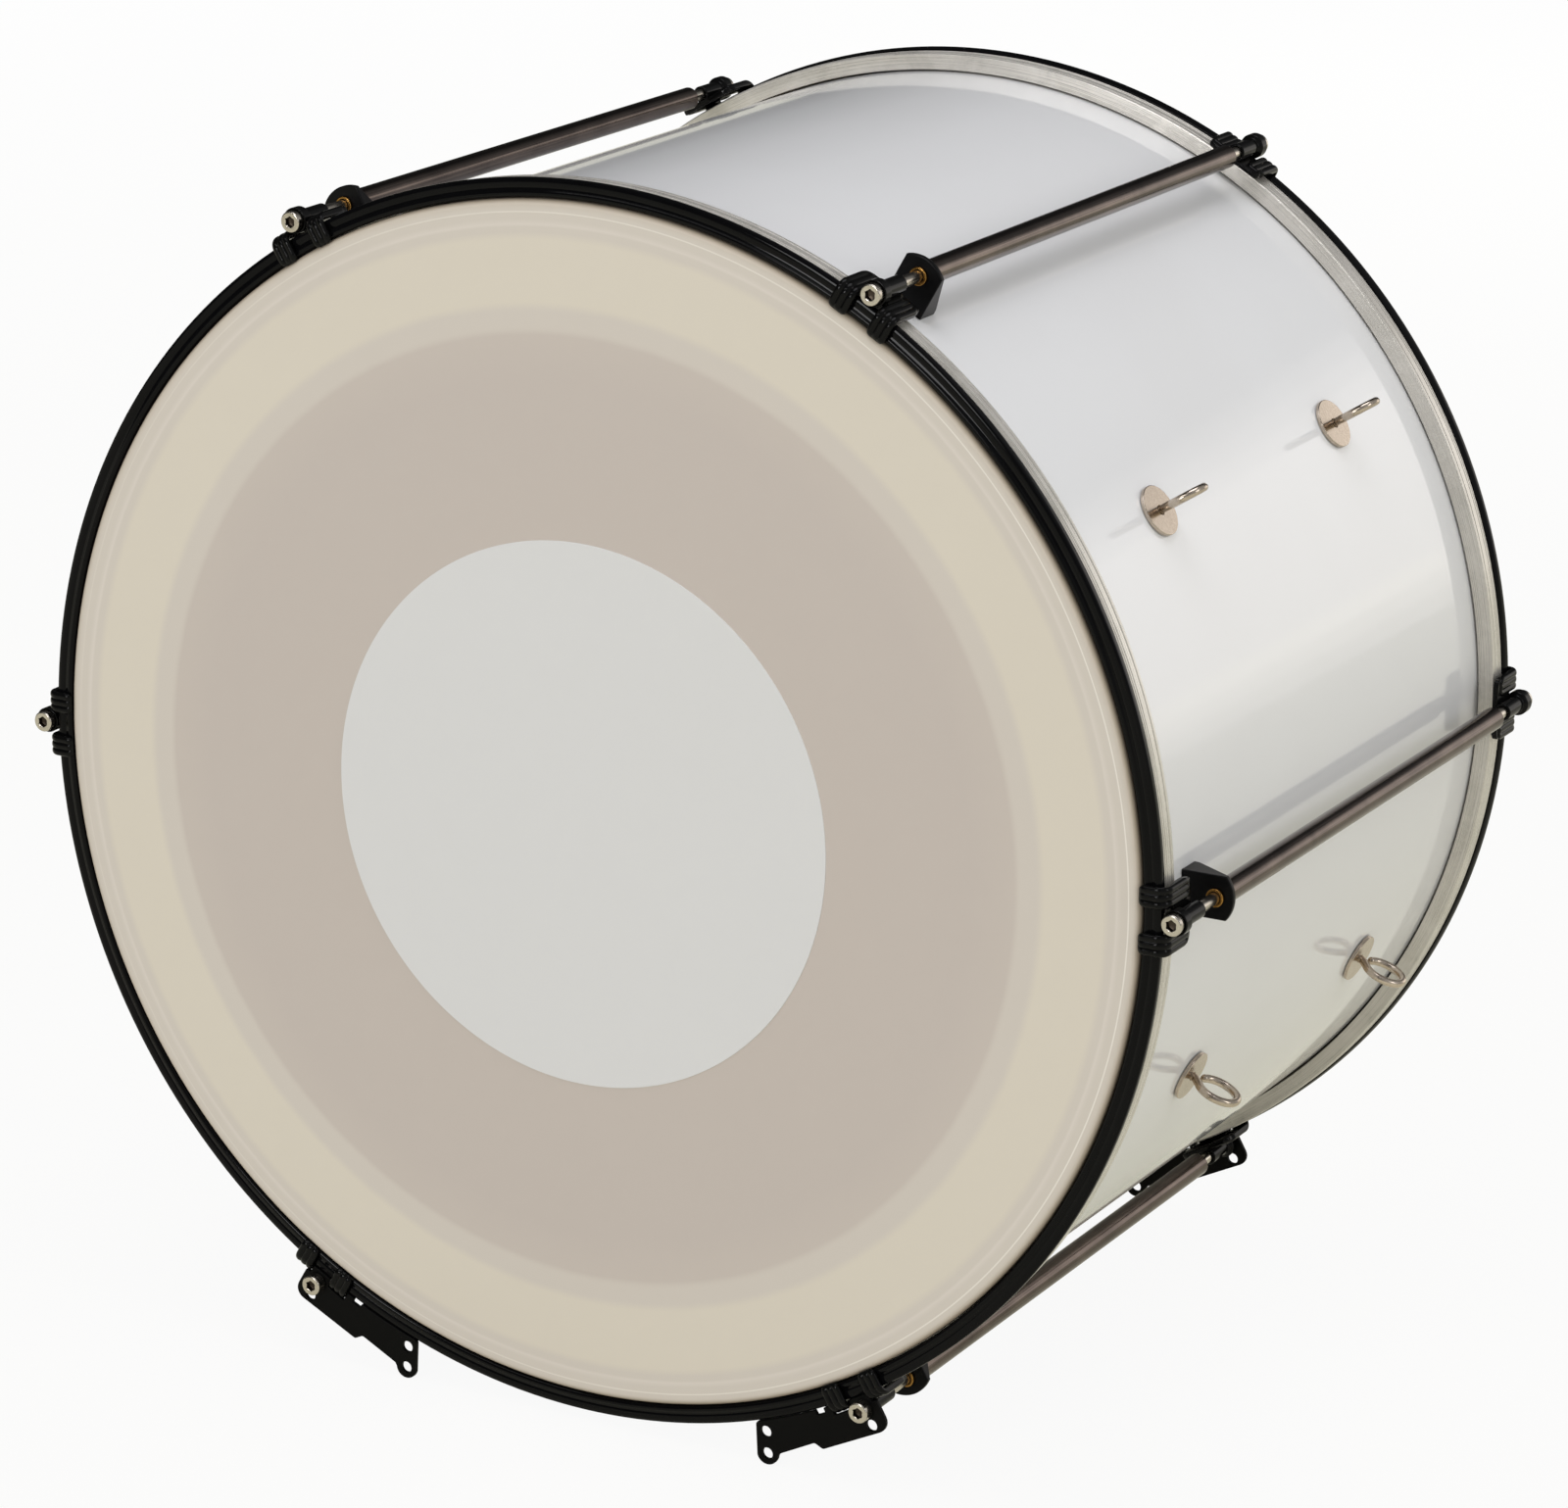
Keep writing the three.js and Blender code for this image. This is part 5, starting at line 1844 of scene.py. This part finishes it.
@dataclass(frozen=True)
class Lamp:
    """A rectangular lamp, in metres and watts, that faces a point on the drum's middle line."""

    name: str
    place: Place
    aim_height: float
    size: Pair
    power: float
    colour: Colour = (1.0, 1.0, 1.0)
    lights: bool = True
    mirrored: bool = True

    def hang(self) -> None:
        """Adds the lamp, unseen by the camera."""
        lamp = bpy.data.lights.new(self.name, "AREA")
        lamp.shape = "RECTANGLE"
        lamp.size, lamp.size_y = self.size
        lamp.energy = self.power
        lamp.color = self.colour
        holder = bpy.data.objects.new(self.name, lamp)
        holder.visible_camera = False
        holder.visible_diffuse = self.lights
        holder.visible_glossy = self.mirrored
        forward = np.array([0.0, 0.0, self.aim_height]) - np.array(self.place)
        forward /= np.linalg.norm(forward)
        right = np.cross(forward, [0.0, 0.0, 1.0])
        holder.matrix_world = facing(self.place, right, np.cross(right, forward))
        bpy.context.scene.collection.objects.link(holder)


@dataclass
class Studio:
    """Floor, white surroundings, soft lamps and the camera, in metres.

    A level is how brightly a surface shows: the floor's seen level goes from the first to the
    second between two distances from the drum, its mirrored level between two places along Y,
    and the room's mirrored level between two shares of the direction towards +X.
    """

    floor_half: float = 40.0
    floor_tones: tuple[Colour, Colour] = (srgb(199, 196, 181), srgb(204, 201, 187))
    floor_glow: Colour = (1.0, 0.98, 0.8)
    floor_seen: Pair = (0.93, 1.0)
    floor_veil: Pair = (1.0, 6.0)
    floor_mirrored: Pair = (0.5, 0.3)
    floor_stretch: Pair = (-0.4, 0.8)
    room_level: float = 0.55
    room_mirrored: Pair = (0.03, 0.42)
    room_stretch: Pair = (-0.2, 0.7)
    card_place: Place = (1.7, 3.2, 0.82)
    card_size: Pair = (1.9, 1.5)
    card_power: float = 2.6
    card_scales: tuple[float, ...] = (0.76, 0.92, 1.08, 1.24)
    card_step: float = 0.01
    camera_place: Place = (1.3702, -2.4305, 1.1605)
    camera_right: Place = (0.870, 0.493, 0.004)
    camera_up: Place = (-0.149, 0.255, 0.955)
    focal_share: float = 5706.7 / 1600.0
    sensor: float = 36.0

    def build(self) -> None:
        """Builds the stage."""
        self.build_floor()
        self.build_world()
        for lamp in self.lamps():
            lamp.hang()
        self.build_camera()

    def build_floor(self) -> None:
        """Lays a pale floor that the camera and reflections see nearly white, with its shadow."""
        half = self.floor_half
        mesh = bpy.data.meshes.new("studio_floor")
        corners = [(-half, -half, 0), (half, -half, 0), (half, half, 0), (-half, half, 0)]
        mesh.from_pydata(corners, [], [(0, 1, 2, 3)])
        floor = bpy.data.objects.new("studio_floor", mesh)
        bpy.context.scene.collection.objects.link(floor)
        material = bpy.data.materials.new("pale_floor")
        material.use_nodes = True
        sheet = NodeSheet(material.node_tree)
        shader = material.node_tree.nodes["Principled BSDF"]
        place = sheet.add("ShaderNodeTexCoord").outputs["Object"]
        cloud = sheet.noise(place, 0.8, Detail=2.0)
        sheet.tree.links.new(sheet.blend(cloud, *self.floor_tones), shader.inputs["Base Color"])
        shader.inputs["Roughness"].default_value = 0.8
        path = sheet.add("ShaderNodeLightPath").outputs
        tone = sheet.blend(path["Is Glossy Ray"], (1.0, 1.0, 1.0), self.floor_glow)
        glow = sheet.add("ShaderNodeEmission", Color=tone, Strength=1.0)
        direct = sheet.maths("MAXIMUM", path["Is Camera Ray"], path["Is Transmission Ray"])
        reach = sheet.add("ShaderNodeVectorMath", {"operation": "LENGTH"}, i0=place).outputs["Value"]
        seen = sheet.between(reach, *self.floor_seen, *self.floor_veil, smooth=True)
        along = sheet.parts(place)["Y"]
        mirrored = sheet.between(along, *self.floor_mirrored, *self.floor_stretch, smooth=True)
        mirrored = sheet.maths("MULTIPLY", path["Is Glossy Ray"], mirrored)
        share = sheet.maths("MAXIMUM", sheet.maths("MULTIPLY", direct, seen), mirrored)
        mixed = sheet.add("ShaderNodeMixShader", i0=share, i1=shader.outputs[0], i2=glow.outputs[0])
        output = material.node_tree.nodes["Material Output"]
        sheet.tree.links.new(mixed.outputs[0], output.inputs["Surface"])
        mesh.materials.append(material)

    def build_world(self) -> None:
        """Makes the surroundings white to the camera, and dimmer to reflections and the rest."""
        world = bpy.data.worlds.new("studio_world")
        bpy.context.scene.world = world
        world.use_nodes = True
        sheet = NodeSheet(world.node_tree)
        path = sheet.add("ShaderNodeLightPath").outputs
        ground = world.node_tree.nodes["Background"]
        seen = sheet.maths("MAXIMUM", path["Is Camera Ray"], path["Is Transmission Ray"])
        aside = sheet.parts(sheet.add("ShaderNodeTexCoord").outputs["Generated"])["X"]
        mirrored = sheet.between(aside, *self.room_mirrored, *self.room_stretch, smooth=True)
        level = sheet.between(path["Is Glossy Ray"], self.room_level, mirrored)
        sheet.tree.links.new(sheet.maths("MAXIMUM", seen, level), ground.inputs["Strength"])
        ground.inputs["Color"].default_value = (1, 1, 1, 1)

    def lamps(self) -> list[Lamp]:
        """Sets out the lamps.

        One hangs overhead, two at the right and one in front. A strip only glints, and a fill
        and nested cards stand behind; the cards' steps soften the edge of their reflection.

        Returns:
            The lamps, not yet hung.
        """
        cool, warm = (0.95, 0.945, 1.0), (1.0, 0.94, 0.88)
        (x, y, z), (wide, high) = self.card_place, self.card_size
        cards = [
            Lamp(
                f"rear_card_{step}", (x, y + self.card_step * step, z), 0.32, (wide * scale, high * scale),
                self.card_power * scale**2, warm,
            )
            for step, scale in enumerate(self.card_scales)
        ]
        return [
            Lamp("overhead_softbox", (0.3, -0.4, 3.2), 0.3, (1.7, 1.5), 25.5, cool),
            Lamp("right_softbox", (3.2, -0.5, 1.6), 0.32, (0.8, 1.4), 10.5),
            Lamp("right_fill", (3.1, -0.6, 1.7), 0.32, (1.2, 1.6), 5.0, mirrored=False),
            Lamp("front_softbox", (-0.5, -3.7, 1.4), 0.3, (1.1, 0.9), 36.5),
            Lamp("glint_strip", (-0.7, -2.25, 2.7), 0.4, (2.2, 0.45), 12.0, lights=False),
            Lamp("rear_fill", (-0.9, 3.8, 1.3), 0.3, (1.6, 1.6), 34.0, mirrored=False),
            *cards,
        ]

    def build_camera(self) -> None:
        """Sets up the camera where the photograph was taken from."""
        camera = bpy.data.cameras.new("photo_camera")
        camera.sensor_fit = "HORIZONTAL"
        camera.sensor_width = self.sensor
        camera.lens = self.focal_share * self.sensor
        camera.clip_end = 100.0
        holder = bpy.data.objects.new("photo_camera", camera)
        holder.matrix_world = facing(self.camera_place, self.camera_right, self.camera_up)
        bpy.context.scene.collection.objects.link(holder)
        bpy.context.scene.camera = holder


def facing(place: Place, right: Sequence[float], up: Sequence[float]) -> Matrix:
    """Gives the matrix of an object that looks along its own -Z.

    Args:
        place: where it is.
        right: its right-hand direction.
        up: its upward direction, made square to the right-hand one.

    Returns:
        The object's matrix.
    """
    right = np.asarray(right, float) / np.linalg.norm(right)
    up = np.asarray(up, float) - right * float(np.dot(right, up))
    up = up / np.linalg.norm(up)
    back = np.cross(right, up)
    rows = np.eye(4)
    rows[:3, 0], rows[:3, 1], rows[:3, 2], rows[:3, 3] = right, up, back, place
    return Matrix(rows.tolist())


def main() -> None:
    """Builds the finishes, the pieces and the stage."""
    logging.basicConfig(level=logging.INFO, format="%(name)s: %(message)s")
    scene = Scene()
    palette = Palette(Effects.build())
    palette.build()
    ShellBody().dress(scene, palette)
    for end in End:
        HeadAndHoops(end).dress(scene, palette)
    HeadLayers().dress(scene, palette)
    for station in Station:
        TensionLine(station).dress(scene, palette)
    for level, angle in EYE_ANGLES.items():
        for end in End:
            EyeBolt(level, end, angle).dress(scene, palette)
    Studio().build()
    bpy.context.scene.view_settings.view_transform = "Standard"
    log.info("%d pieces dressed", len(scene.pieces))


if __name__ == "__main__":
    main()
